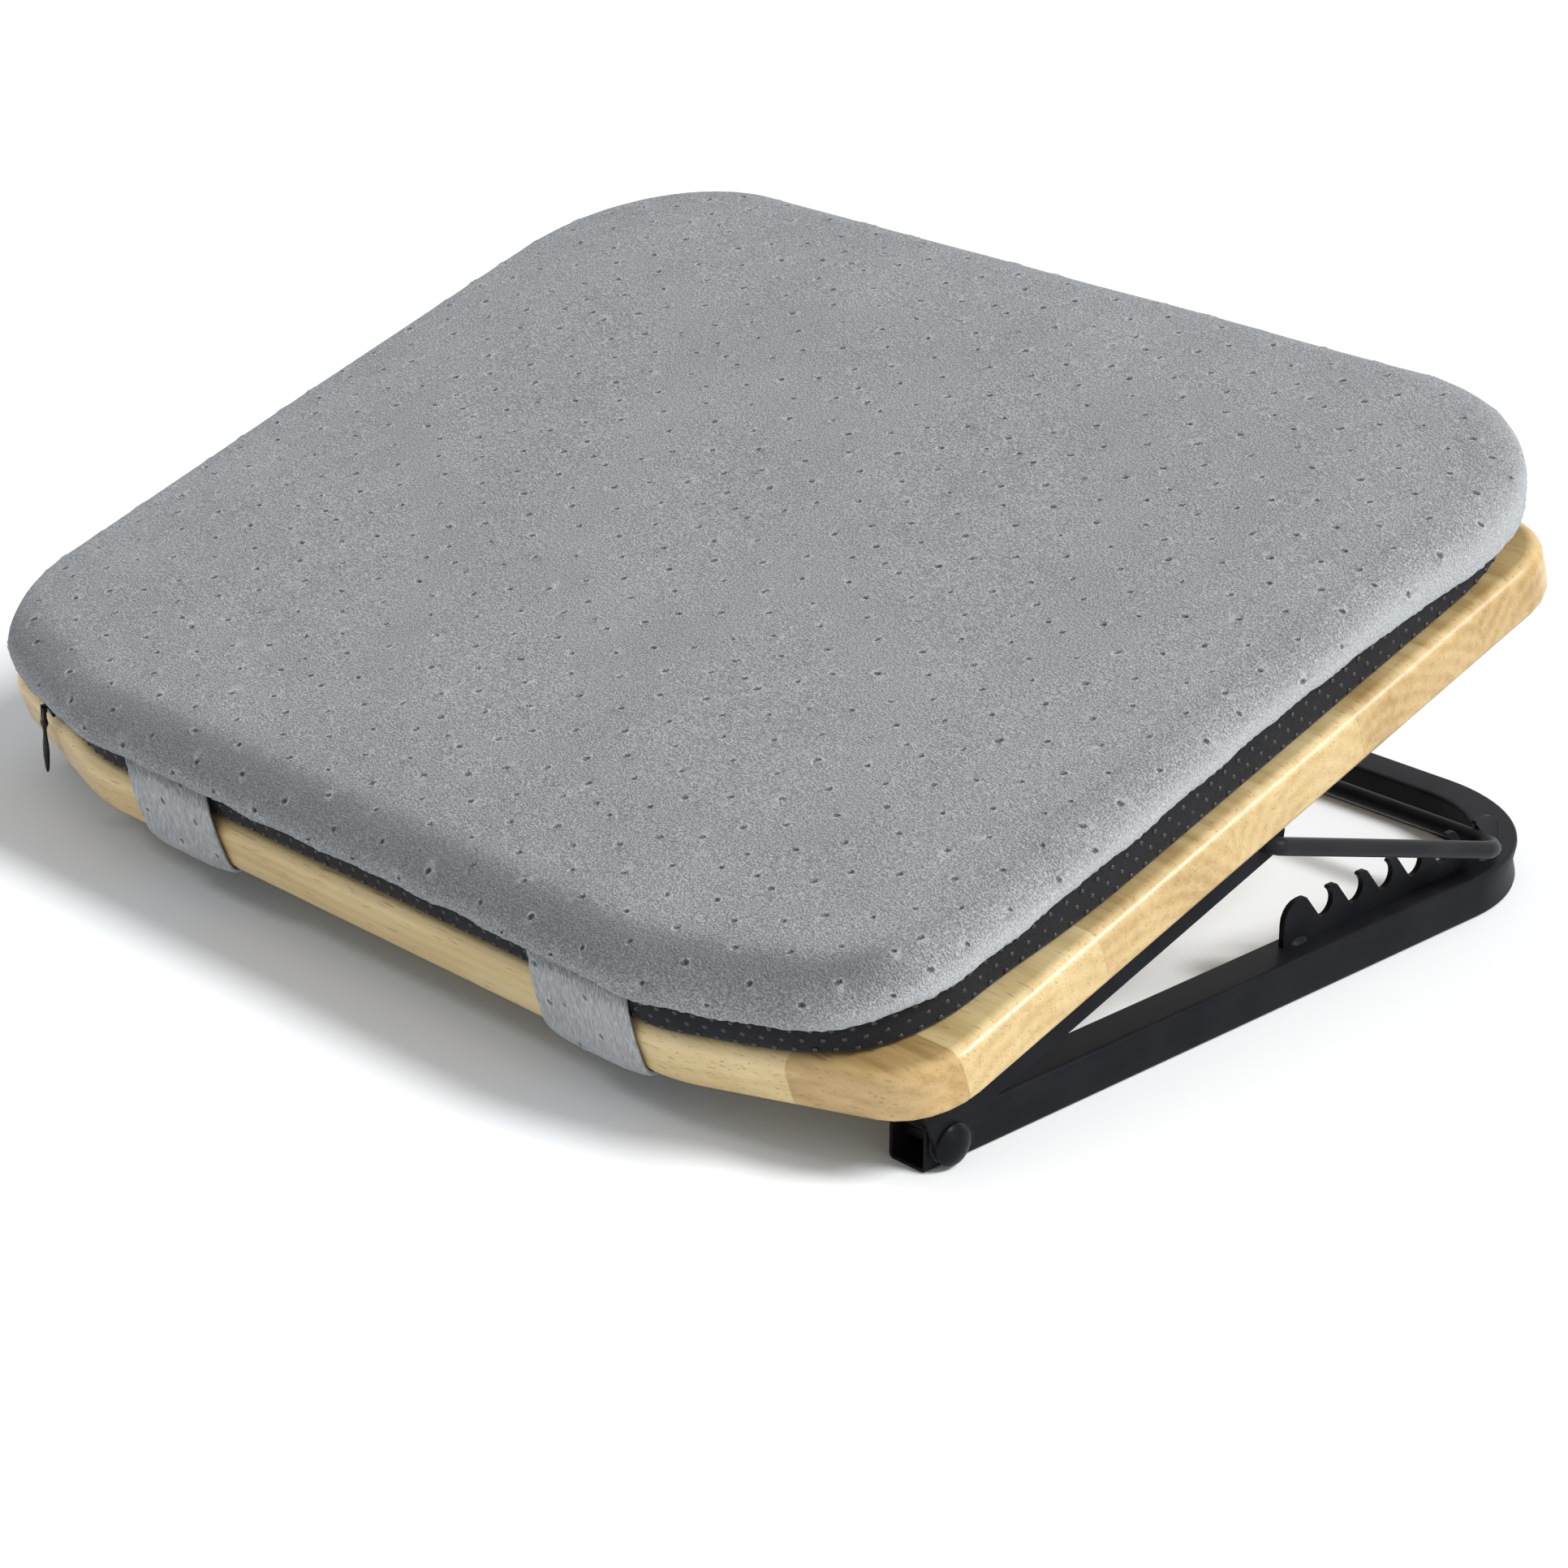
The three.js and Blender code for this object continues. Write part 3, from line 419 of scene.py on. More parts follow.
def velour_cover(material):
    rings = [profile_gone[i] for i in RING_STEPS]
    xs = np.arange(NET_LOW[0], NET_HIGH[0] + 1, NET_SPACING)
    rows = []
    for k, v in enumerate(np.arange(NET_LOW[1], NET_HIGH[1], NET_SPACING * ROW_SHARE)):
        rows.append(np.column_stack([xs + (NET_SPACING / 2 if k % 2 else 0), np.full(len(xs), v)]))
    base = np.concatenate(rows)
    base = base + rng.normal(0, NET_SCATTER, base.shape)
    base = base[lay_on_cushion(base)[1] < rings[0] - RING_CLEAR]
    loops = []
    for gone in rings:
        loops.append(rounded(CUSHION, EDGE_RUN - gone, HEM_SPACING if gone > EDGE_END else RING_SPACING)[0])
    pits = pit_places(NET_LOW, NET_HIGH)
    pits = pits[lay_on_cushion(pits)[1] < PITS_END]
    flat, height, dark, faces = pitted_net(np.concatenate([base] + loops), pits)
    points, away, out = lay_on_cushion(flat)
    points += vertex_normals(points, faces) * height[:, None]
    # One face closes the underside inside the hem
    rim = np.where(away > HEM_END - SAME_RING)[0]
    centre = points[rim, :2].mean(0)
    turn = np.arctan2(points[rim, 1] - centre[1], points[rim, 0] - centre[0])
    faces = [tuple(f) for f in faces] + [tuple(rim[np.argsort(-turn)])]
    piece = make_piece("velour_cushion", points, faces, material)
    # The pits' painted shade and lip highlight, and the cover's painted light and shade
    keep_attribute(piece, "pit_shade_and_highlight", dark)
    keep_attribute(piece, "nap_and_painted_light", cover_nap_and_painted_light(flat, away, out))
    return piece


# Straps

# The outer face of a strap, as (v, n), from under the hem to its tail under the board
STRAP_LINE = [
    (2.4, 33.0), (1.5, 31.2), (0.7, 29.2), (0.0, 26.8), (-0.5, 24.0), (-0.9, 20.9), (-1.3, 17.6), (-1.6, 14.6),
    (-1.75, 11.5), (-1.75, 8), (-1.75, 4.6), (-1.4, 2.0), (-0.4, -0.3), (1.4, -1.4), (3.8, -1.8), (9, -1.85),
    (23, -1.9), (28, -2.8), (32, -3.2), (40, -3.3), (52, -3.3)]
PATH_STEP, PATH_FINE = 1.2, 20
STRAP_WIDE, STRAP_THICK, STRAP_RELIEF = 46.0, 1.5, 0.2
# The rounding of the side edges: its width, its drop and the share of it that is used
STRAP_EDGE, EDGE_DROP, EDGE_SHARE = 1.3, 0.5, 0.98
# The net across: places near each side edge, then even steps between two margins
RIM_PLACES, NET_FROM, NET_TO, NET_ACROSS, NET_ALONG = (0.0, 0.35, 0.9), 2, 1.5, 2.2, 2
CLOTH_V, PIT_MARGIN, PIT_SHARE = -200, 3, 0.55
# Ripple on the front face: height, length across, and where it starts, ends and how fast
RIPPLE, RIPPLE_ACROSS, RIPPLE_START, RIPPLE_IN, RIPPLE_END, RIPPLE_OUT = 0.35, 11, 2, 6, 55, 8
# Belly at the board's low edge: height, reach, the level where it starts, its lag and its fall to the sides
BELLY, BELLY_REACH, BELLY_LEVEL, BELLY_LAG, BELLY_FALL = 1.9, 7, 1.0, 1, 0.9
# Crease under the hem: depth, place, reach and length of its wander across
CREASE, CREASE_AT, CREASE_REACH, CREASE_ACROSS = 0.4, 7.5, 1.6, 6
# The draw towards the hem: narrowing and its run, and the run of the skew
NARROWING, NARROW_RUN, SKEW_RUN = 0.02, 16, 34
# The pile's lean, the painted shade in the crease and the painted shadow of the hem, and where that shadow ends and
# fades
STRAP_NAP, CREASE_PAINTED_SHADE, HEM_PAINTED_SHADOW, SHADE_END, SHADE_FADE = 0.9, 0.9, 2.3, 5.2, 2.0


def smooth_path(points):
    """Points at an even step along a smooth curve through control points, and how far along they lie."""
    p = np.array(points, float)
    p = np.vstack([2 * p[0] - p[1], p, 2 * p[-1] - p[-2]])
    out = []
    for i in range(1, len(p) - 2):
        a, b, c, d = p[i - 1], p[i], p[i + 1], p[i + 2]
        for t in np.linspace(0, 1, PATH_FINE, endpoint=False):
            out.append(0.5 * (
                (2 * b) + (c - a) * t + (2 * a - 5 * b + 4 * c - d) * t * t + (3 * b - a - 3 * c + d) * t ** 3))
    out = np.array(out + [p[-2]])
    gone = path_length(out)
    even = np.linspace(0, gone[-1], int(gone[-1] / PATH_STEP) + 1)
    return np.stack([np.interp(even, gone, out[:, k]) for k in range(out.shape[1])], 1), even


def velour_strap(name, middle, shift, skew, material):
    """A strap on its path. Gives the piece and its length."""
    line, gone = smooth_path(STRAP_LINE)
    ahead = np.gradient(line, axis=0)
    ahead /= np.linalg.norm(ahead, axis=1, keepdims=True)
    half, end = STRAP_WIDE / 2, gone[-1]
    across = np.concatenate([
        [-half + r for r in RIM_PLACES],
        np.arange(-half + NET_FROM, half - NET_TO, NET_ACROSS),
        [half - r for r in reversed(RIM_PLACES)]])
    base = np.array([(x, g) for g in np.linspace(0, end, int(end / NET_ALONG)) for x in across])
    inner = half - PIT_MARGIN
    pits = pit_places((middle - inner, CLOTH_V), (middle + inner, CLOTH_V + end)) - [middle, CLOTH_V]
    pits = pits[(pits[:, 1] > PIT_MARGIN) & (pits[:, 1] < end - PIT_MARGIN)]
    pits[:, 1] = np.mod(pits[:, 1] + shift - PIT_MARGIN, end - 2 * PIT_MARGIN) + PIT_MARGIN
    flat, height, dark, faces = pitted_net(base, pits)
    x, g = flat[:, 0], flat[:, 1]
    v, n, along_v, along_n = (np.interp(g, gone, column) for column in (*line.T, *ahead.T))

    side = np.clip((np.abs(x) - (half - STRAP_EDGE)) / STRAP_EDGE, 0, 1)
    lift = height * PIT_SHARE - EDGE_DROP * (1 - np.sqrt(1 - side ** 2 * EDGE_SHARE))
    front = np.clip((g - RIPPLE_START) / RIPPLE_IN, 0, 1) * np.clip((end - RIPPLE_END - g) / RIPPLE_OUT, 0, 1)
    lift += front * RIPPLE * np.cos(x / RIPPLE_ACROSS + shift)
    low_at = gone[int(np.argmax(line[:, 1] < BELLY_LEVEL))]
    lift += BELLY * hill(g, low_at + BELLY_LAG, BELLY_REACH) * (1 - BELLY_FALL * (x / half) ** 4)
    crease = hill(g, CREASE_AT + np.cos(x / CREASE_ACROSS + shift), CREASE_REACH)
    lift -= CREASE * crease

    draw = 1 - NARROWING * np.clip(1 - g / NARROW_RUN, 0, 1)
    aside = skew * np.clip(1 - g / SKEW_RUN, 0, 1)
    points = np.column_stack([middle + x * draw + aside, v + along_n * lift, n - along_v * lift])
    piece = make_piece(name, points, [f[::-1] for f in faces], material)
    keep_attribute(piece, "pit_shade_and_highlight", dark)
    # Painted shade in the crease and a painted shadow of the hem over the strap's top
    shade = np.clip(1 - (g - SHADE_END) / SHADE_FADE, 0, 1)
    keep_attribute(piece, "nap_and_painted_light", STRAP_NAP - CREASE_PAINTED_SHADE * crease - HEM_PAINTED_SHADOW * shade)
    thick = piece.modifiers.new("thick", "SOLIDIFY")
    thick.thickness, thick.offset = (STRAP_THICK - STRAP_RELIEF) * MM, -1
    return piece, end


# Knit base with rubber dots

# How far inside the cushion's outline it lies, its underside, its top and its extra fullness on the right
GRIP_INSET, GRIP_LOW, GRIP_TOP, GRIP_FULLER = 4.5, 18.3, 29.8, 2.0
# Its fullness at the right front and behind that corner as shares, and how it follows the cover's hem
FRONT_FULLER, CORNER_LEANER, FOLLOW_UP, FOLLOW_SHARE = 1.2, 1.3, 0.9, 0.5
FULL_V, FULL_X, FULL_X_END = (70, 120), (118, 143), (200, 175)
# The section of its side, as (inset, height)
GRIP_SECTION = [
    (4.0, GRIP_LOW), (2.2, 18.4), (1.0, 18.9), (0.35, 20.0), (0.1, 21.6), (0.0, 24.0), (0.1, 26.6), (0.5, 28.4),
    (1.4, 29.5), (4.0, GRIP_TOP)]
GRIP_SPACING, GRIP_WAVES = 3.0, (0.25, 11, (53, 31, 19))

DOT_RADIUS, DOT_UP, DOT_FOOT, DOT_PITCH, DOT_SIDES, DOT_SINK = 0.95, 0.42, 0.3, 6.4, 8, 0.12
# Rings of one dot: share of its radius and height
DOT_RINGS = [(1.0, -0.3), (0.97, 0.1), (0.62, 0.34)]
DOT_ROWS, DOT_ACCURACY = (20.4, 23.6, 26.8), 0.2
# The dots under the overhang: from and to, half width, height over the underside and distance from its edge
UNDER_FROM, UNDER_TO, UNDER_HALF, UNDER_UP, UNDER_INSET = 332.5, 350, 215, 0.05, 3.5


def grip_plan(spacing):
    """The base's outline, fuller on the right, with its outward directions and its extra height."""
    plan, out = rounded(CUSHION, GRIP_INSET, spacing)
    right = to_right(out) * fade(plan[:, 1], *FULL_V)
    front = fade(plan[:, 0], *FULL_X) * fade(plan[:, 0], *FULL_X_END) * to_front(out)
    fuller = GRIP_FULLER * (right + FRONT_FULLER * front - CORNER_LEANER * corner_draw(plan, out))
    return plan + out * fuller[:, None], out, FOLLOW_UP + FOLLOW_SHARE * hem_rise(plan, out)


def grip_pad(material):
    """The black knit underside and its low side band."""
    plan, out, extra = grip_plan(GRIP_SPACING)
    length = path_length(plan)
    loops = []
    for inset, up in GRIP_SECTION:
        share = (up - GRIP_LOW) / (GRIP_TOP - GRIP_LOW)
        ripple = wander(length, GRIP_WAVES) * math.sin(math.pi * share)
        loops.append(np.column_stack([plan - out * (inset - ripple[:, None]), up + extra * share]))
    points, faces = skin(loops)
    return make_piece("knit_base", points, faces, material)


def dot(centre, out, across):
    """One flat rubber dome, closed underneath."""
    up = np.cross(across, out)
    turns = [2 * math.pi * s / DOT_SIDES for s in range(DOT_SIDES)]
    loops = []
    for share, height in DOT_RINGS:
        arms = np.array([across * math.cos(a) + up * math.sin(a) for a in turns])
        loops.append(centre + DOT_RADIUS * share * arms + out * height)
    points, faces = skin(loops, close_ends=False)
    tip = len(points)
    top = tip - DOT_SIDES
    for s in range(DOT_SIDES):
        t = (s + 1) % DOT_SIDES
        faces.append((top + s, top + t, tip))
        faces.append((t, s, tip + 1))
    return [*points, centre + out * DOT_UP, centre - out * DOT_FOOT], faces


def grip_dots(material):
    """Rubber dots on the base's side band and on its overhang behind the board."""
    dots = []
    plan, out, extra = grip_plan(DOT_ACCURACY)
    length = path_length(plan)
    for row, up in enumerate(DOT_ROWS):
        for gone in np.arange((row % 2) * DOT_PITCH / 2, length[-1], DOT_PITCH):
            i = min(int(np.searchsorted(length, gone)), len(plan) - 1)
            o = np.array([*out[i], 0])
            high = up + extra[i] * (up - GRIP_LOW) / (GRIP_TOP - GRIP_LOW)
            dots.append(dot(np.array([*plan[i], high]) - o * DOT_SINK, o, np.array([0, 0, 1.0])))
    inner, inner_out = rounded(CUSHION, GRIP_INSET + UNDER_INSET, 1.0)
    tree = plan_tree(inner)
    for k, v in enumerate(np.arange(UNDER_FROM, UNDER_TO, DOT_PITCH * ROW_SHARE)):
        for x in np.arange(-UNDER_HALF + (k % 2) * DOT_PITCH / 2, UNDER_HALF + 1, DOT_PITCH):
            i = tree.find((x, v, 0))[1]
            if (np.array([x, v]) - inner[i]) @ inner_out[i] < 0:
                centre = np.array([x, v, GRIP_LOW + UNDER_UP])
                dots.append(dot(centre, np.array([0, 0, -1.0]), np.array([1.0, 0, 0])))
    points, faces = join(dots)
    return make_piece("grip_dots", points, faces, material)


# Zip and hook tape

# How far the zip lies outside the base, its height, where it runs, and the step between loops of its tape
ZIP_OUT, ZIP_UP, ZIP_X, ZIP_V, ZIP_SPACING, TAPE_STEP = 0.3, 22.7, -184, 250, 0.25, 12
# The tape's section, as (outward, height)
TAPE_SECTION = [
    (0.0, -2.0), (0.45, -1.95), (0.6, -1.0), (0.5, 0.0), (0.6, 1.0), (0.45, 1.95), (0.0, 2.0), (-0.1, 0.0)]
TOOTH_PITCH, TOOTH_MARGIN, TOOTH_OUT, TOOTH_SHIFT, TOOTH_SIDES = 0.95, 1, 0.75, 0.35, 6
TOOTH_WIDE, TOOTH_DEEP, TOOTH_RINGS = 0.33, 0.36, ((-0.95, 0.55), (-0.7, 1.0), (0.7, 1.0), (0.95, 0.55))

PATCH_HALF, PATCH_FROM, PATCH_TO, PATCH_LOW, PATCH_HIGH, PATCH_ROUND = 21.3, 26.4, 51.6, -1.45, -0.35, 1.5
PATCH_EDGE_IN, PATCH_EDGE_UP = 0.3, 0.25


def zip_chain(tape_paint, teeth_paint):
    """The zip in the left seam: a woven tape and a row of coil teeth on it. Gives the tape."""
    plan, out = rounded(CUSHION, GRIP_INSET - ZIP_OUT, ZIP_SPACING)
    run = (plan[:, 0] < ZIP_X) & (plan[:, 1] < ZIP_V)
    plan, out = plan[run], out[run]
    loops = []
    for p, o in list(zip(plan, out))[::TAPE_STEP]:
        loops.append(np.array([(p[0] + o[0] * a, p[1] + o[1] * a, ZIP_UP + b) for a, b in TAPE_SECTION]))
    points, faces = skin(loops)
    tape = make_piece("zip_tape", points, faces, tape_paint)

    length = path_length(plan)
    up = np.array([0, 0, 1.0])
    coils = []
    for k, gone in enumerate(np.arange(TOOTH_MARGIN, length[-1] - TOOTH_MARGIN, TOOTH_PITCH)):
        i = int(np.searchsorted(length, gone))
        o, t = np.array([*out[i], 0]), np.array([-out[i, 1], out[i, 0], 0])
        middle = np.array([*plan[i], ZIP_UP + (TOOTH_SHIFT if k % 2 else -TOOTH_SHIFT)]) + o * TOOTH_OUT
        rings = []
        for height, grow in TOOTH_RINGS:
            turns = [2 * math.pi * s / TOOTH_SIDES for s in range(TOOTH_SIDES)]
            arms = [TOOTH_WIDE * math.cos(a) * t + TOOTH_DEEP * math.sin(a) * o for a in turns]
            rings.append(middle + up * height + grow * np.array(arms))
        coils.append(skin(rings))
    points, faces = join(coils)
    make_piece("zip_teeth", points, faces, teeth_paint)
    return tape


def hook_patch(name, middle, material):
    """A slab of hook tape with bevelled edges."""
    left, right = middle - PATCH_HALF, middle + PATCH_HALF
    corners = [(x, v, PATCH_ROUND) for x, v in (
        (left, PATCH_FROM), (right, PATCH_FROM), (right, PATCH_TO), (left, PATCH_TO))]
    loops = []
    for inset, up in (
        (PATCH_EDGE_IN, PATCH_LOW), (0.0, PATCH_LOW + PATCH_EDGE_UP),
        (0.0, PATCH_HIGH - PATCH_EDGE_UP), (PATCH_EDGE_IN, PATCH_HIGH),
    ):
        plan = rounded(corners, inset, 1.0)[0]
        loops.append(np.column_stack([plan, np.full(len(plan), up)]))
    size = min(len(loop) for loop in loops)
    points, faces = skin([loop[np.linspace(0, len(loop) - 1, size).astype(int)] for loop in loops])
    return make_piece(name, points, faces, material)


# Materials

NOISE_REACH = 0.3, 0.7


class Paint:
    """A node material with one shader."""

    def __init__(self, name):
        self.material = bpy.data.materials.new(name)
        self.material.use_nodes = True
        self.tree = self.material.node_tree
        self.tree.nodes.clear()
        self.shader = self.node("ShaderNodeBsdfPrincipled")
        output = self.node("ShaderNodeOutputMaterial")
        self.tree.links.new(self.shader.outputs[0], output.inputs["Surface"])

    def node(self, kind, inputs=None, **settings):
        made = self.tree.nodes.new(kind)
        for key, value in settings.items():
            setattr(made, key, value)
        for key, value in (inputs or {}).items():
            self.put(made.inputs[key], value)
        return made

    def put(self, socket, value):
        if isinstance(value, bpy.types.NodeSocket):
            self.tree.links.new(value, socket)
        else:
            socket.default_value = value

    def set(self, **values):
        """Sets the shader's sockets and gives the finished material."""
        for key, value in values.items():
            self.put(self.shader.inputs[key.replace("_", " ")], value)
        return self.material

    def place(self, board=True):
        """Coordinates in metres: the board's own, or the row frame's."""
        coordinates = self.node("ShaderNodeTexCoord").outputs["Object"]
        if not board:
            return coordinates
        turn = {"Vector": coordinates, "Location": BOARD.translation, "Rotation": (TILT, 0, 0)}
        return self.node("ShaderNodeMapping", turn, vector_type="TEXTURE").outputs[0]

    def stretch(self, coordinates, scale):
        return self.node("ShaderNodeMapping", {"Vector": coordinates, "Scale": scale}).outputs[0]

    def noise(self, coordinates, scale, detail=2.0, rough=0.5):
        inputs = {"Vector": coordinates, "Scale": scale, "Detail": detail, "Roughness": rough}
        return self.node("ShaderNodeTexNoise", inputs).outputs["Fac"]

    def fibres(self, coordinates, per_metre, detail=2.0, rough=0.5):
        """Noise with its own count of features per metre across, back and up."""
        return self.noise(self.stretch(coordinates, per_metre), 1.0, detail, rough)

    def math(self, operation, a, b=0.0, c=0.0):
        return self.node("ShaderNodeMath", {0: a, 1: b, 2: c}, operation=operation).outputs[0]

    def times(self, a, b, plus=0.0):
        """a times b, plus a third value."""
        return self.math("MULTIPLY_ADD", a, b, plus)

    def spread(self, value, low, high, to_low=0.0, to_high=1.0):
        inputs = {"Value": value, "From Min": low, "From Max": high, "To Min": to_low, "To Max": to_high}
        return self.node("ShaderNodeMapRange", inputs).outputs[0]

    def level(self, value, low, high):
        """A noise's usual reach brought to low and high."""
        return self.spread(value, *NOISE_REACH, low, high)

    def ramp(self, value, stops):
        made = self.node("ShaderNodeValToRGB", {"Fac": value})
        while len(made.color_ramp.elements) < len(stops):
            made.color_ramp.elements.new(0.5)
        for element, (place, colour) in zip(made.color_ramp.elements, stops):
            element.position = place
            element.color = (*colour, 1)
        return made.outputs["Color"]

    def mix(self, share, a, b, blend="MIX"):
        made = self.node("ShaderNodeMix", {"Factor": share}, data_type="RGBA", blend_type=blend)
        self.put(made.inputs[6], a)
        self.put(made.inputs[7], b)
        return made.outputs[2]

    def bump(self, height, strength, distance, normal=None):
        inputs = {"Height": height, "Strength": strength, "Distance": distance}
        if normal is not None:
            inputs["Normal"] = normal
        return self.node("ShaderNodeBump", inputs).outputs[0]


# Pile: features per metre on the cover and the straps, tones, and the colours of the painted light and shade and of
# the pits' painted shade and lip highlight
COVER_PILE, STRAP_PILE = (1250, 2000, 1400), (1500, 330, 330)
TUFTS, BRUSHED = (420, 560, 560), 26.0
PILE_TONES = [(0.0, (0.155, 0.161, 0.165)), (0.5, (0.266, 0.277, 0.285)), (1.0, (0.44, 0.455, 0.466))]
PALE_NAP_AND_PAINTED_LIGHT, DARK_NAP_AND_PAINTED_SHADE = (0.62, 0.64, 0.66, 1), (0.09, 0.097, 0.1, 1)
PIT_PAINTED_SHADE, PIT_PAINTED_HIGHLIGHT = (0.05, 0.054, 0.058, 1), (0.62, 0.635, 0.65, 1)
SHEEN_TINT = (0.9, 0.94, 1.0, 1)
# The parts that pile, tufts and brushing have in the tone, the tone's reach, and the relief of pile and tufts
PILE_PART, TUFT_PART, BRUSHED_PART, TONE_REACH = 0.84, 0.06, 0.1, (0.34, 0.66)
PILE_RELIEF, TUFT_RELIEF = (0.9, 0.0008), (0.4, 0.0009)
# The value of the painted light and shade, or of the pits' attribute, at which each colour is strongest, and its
# strength there
LIGHTER_FULL, DARKER_FULL, FULL_PIT, FULL_RIM = (1.0, 0.35), (-2.0, 0.68), (1.0, 0.7), (-0.5, 0.45)


def velour_paint(name, pile_fibres):
    """Grey pile, its tone and relief stretched along the cloth, with painted light and shade and painted pit shade and
    lip highlights from the mesh's attributes.
    """
    p = Paint(name)
    at = p.place()
    pile = p.fibres(at, pile_fibres, 1.5, 0.6)
    tuft = p.fibres(at, TUFTS)
    brushed = p.noise(at, BRUSHED, 3.0, 0.55)
    tone = p.times(pile, PILE_PART, p.times(tuft, TUFT_PART, p.times(brushed, BRUSHED_PART)))
    colour = p.ramp(p.spread(tone, *TONE_REACH), PILE_TONES)
    dark = p.node("ShaderNodeAttribute", attribute_name="pit_shade_and_highlight").outputs["Fac"]
    nap_and_painted_light = p.node("ShaderNodeAttribute", attribute_name="nap_and_painted_light").outputs["Fac"]
    # Painted light and shade from the nap attribute, painted shade in the pits and a painted highlight on their lips
    for amount, (full, share), tint in (
        (nap_and_painted_light, LIGHTER_FULL, PALE_NAP_AND_PAINTED_LIGHT), (nap_and_painted_light, DARKER_FULL, DARK_NAP_AND_PAINTED_SHADE), (dark, FULL_PIT, PIT_PAINTED_SHADE), (dark, FULL_RIM, PIT_PAINTED_HIGHLIGHT),
    ):
        colour = p.mix(p.spread(amount, 0.0, full, 0.0, share), colour, tint)
    rise = p.bump(pile, *PILE_RELIEF, p.bump(tuft, *TUFT_RELIEF))
    return p.set(
        Base_Color=colour, Roughness=p.level(tuft, 0.9, 1.0), Normal=rise, Sheen_Weight=0.22, Sheen_Roughness=0.4,
        Sheen_Tint=SHEEN_TINT, Specular_IOR_Level=0.15)


# Staves: width, usual length and where the first one starts, in metres, with the tone of each across the board
STAVE_WIDTH, STAVE_LENGTH, STAVE_START, BLOCK_START = 0.06, 0.3, 0.02, 0.23
STAVE_TONES = (0.92, 0.13, 0.52, 0.35, 0.62, 0.75)
# How far the joints jog from stave to stave, and how the tone steps from block to block
JOG_STEP, JOG_START, TONE_STEP, BLOCK_SEED = 0.37, 0.85, 0.2, 4.0
# Growth rings: turns per metre, how far the grain wanders, and where each stave's heart lies
RING_TURNS, RING_WANDER, HEART_V, HEART_N = 1150.0, 0.014, (0.05, -0.02), (0.035, 0.012)
PALE_WOOD = [(0.0, (0.60, 0.43, 0.19)), (0.5, (0.735, 0.565, 0.285)), (1.0, (0.83, 0.67, 0.385))]
TAN_WOOD = [(0.0, (0.33, 0.195, 0.066)), (0.5, (0.51, 0.338, 0.14)), (1.0, (0.62, 0.434, 0.205))]
PORE_SHADE, JOINT_SHADE = (0.24, 0.115, 0.045, 1), (0.33, 0.18, 0.08, 1)
# The end grain's tint, painted shade on the top face, and painted shade on the underside, darker and cooler so that it
# throws less warm light on the floor
END_TINT, TOP_PAINTED_SHADE, UNDER_PAINTED_SHADE = (0.80, 0.775, 0.73, 1), (0.85, 0.87, 0.87, 1), (0.68, 0.77, 0.95, 1)
# Where the end faces, the top and the underside begin, in metres
END_FACE, TOP_FACE, UNDER_FACE = (0.2272, 0.2297), (0.0172, 0.018), (0.0012, 0.0004)
# Features per metre of the wandering grain, the streaks, the clouds and the pores
WARP, STREAKS, CLOUDS, PORES = (7, 26, 26), (9, 320, 320), (14, 38, 38), (90, 1500, 1500)
# The rings' part in the grain, more on the ends and the top, the parts of streaks and clouds, and the grain's reach
RING_PART, RING_AT_END, RING_ON_TOP, STREAK_PART, CLOUD_PART, GRAIN_REACH = 0.03, 0.02, 0.045, 0.42, 0.55, (0.30, 0.68)
PORE_REACH, PORE_SHARE, JOINT_REACH, JOINT_SHARE = (0.63, 0.72), 0.5, (0.4955, 0.4995), 0.35
WOOD_RELIEF = (0.12, 0.0004)


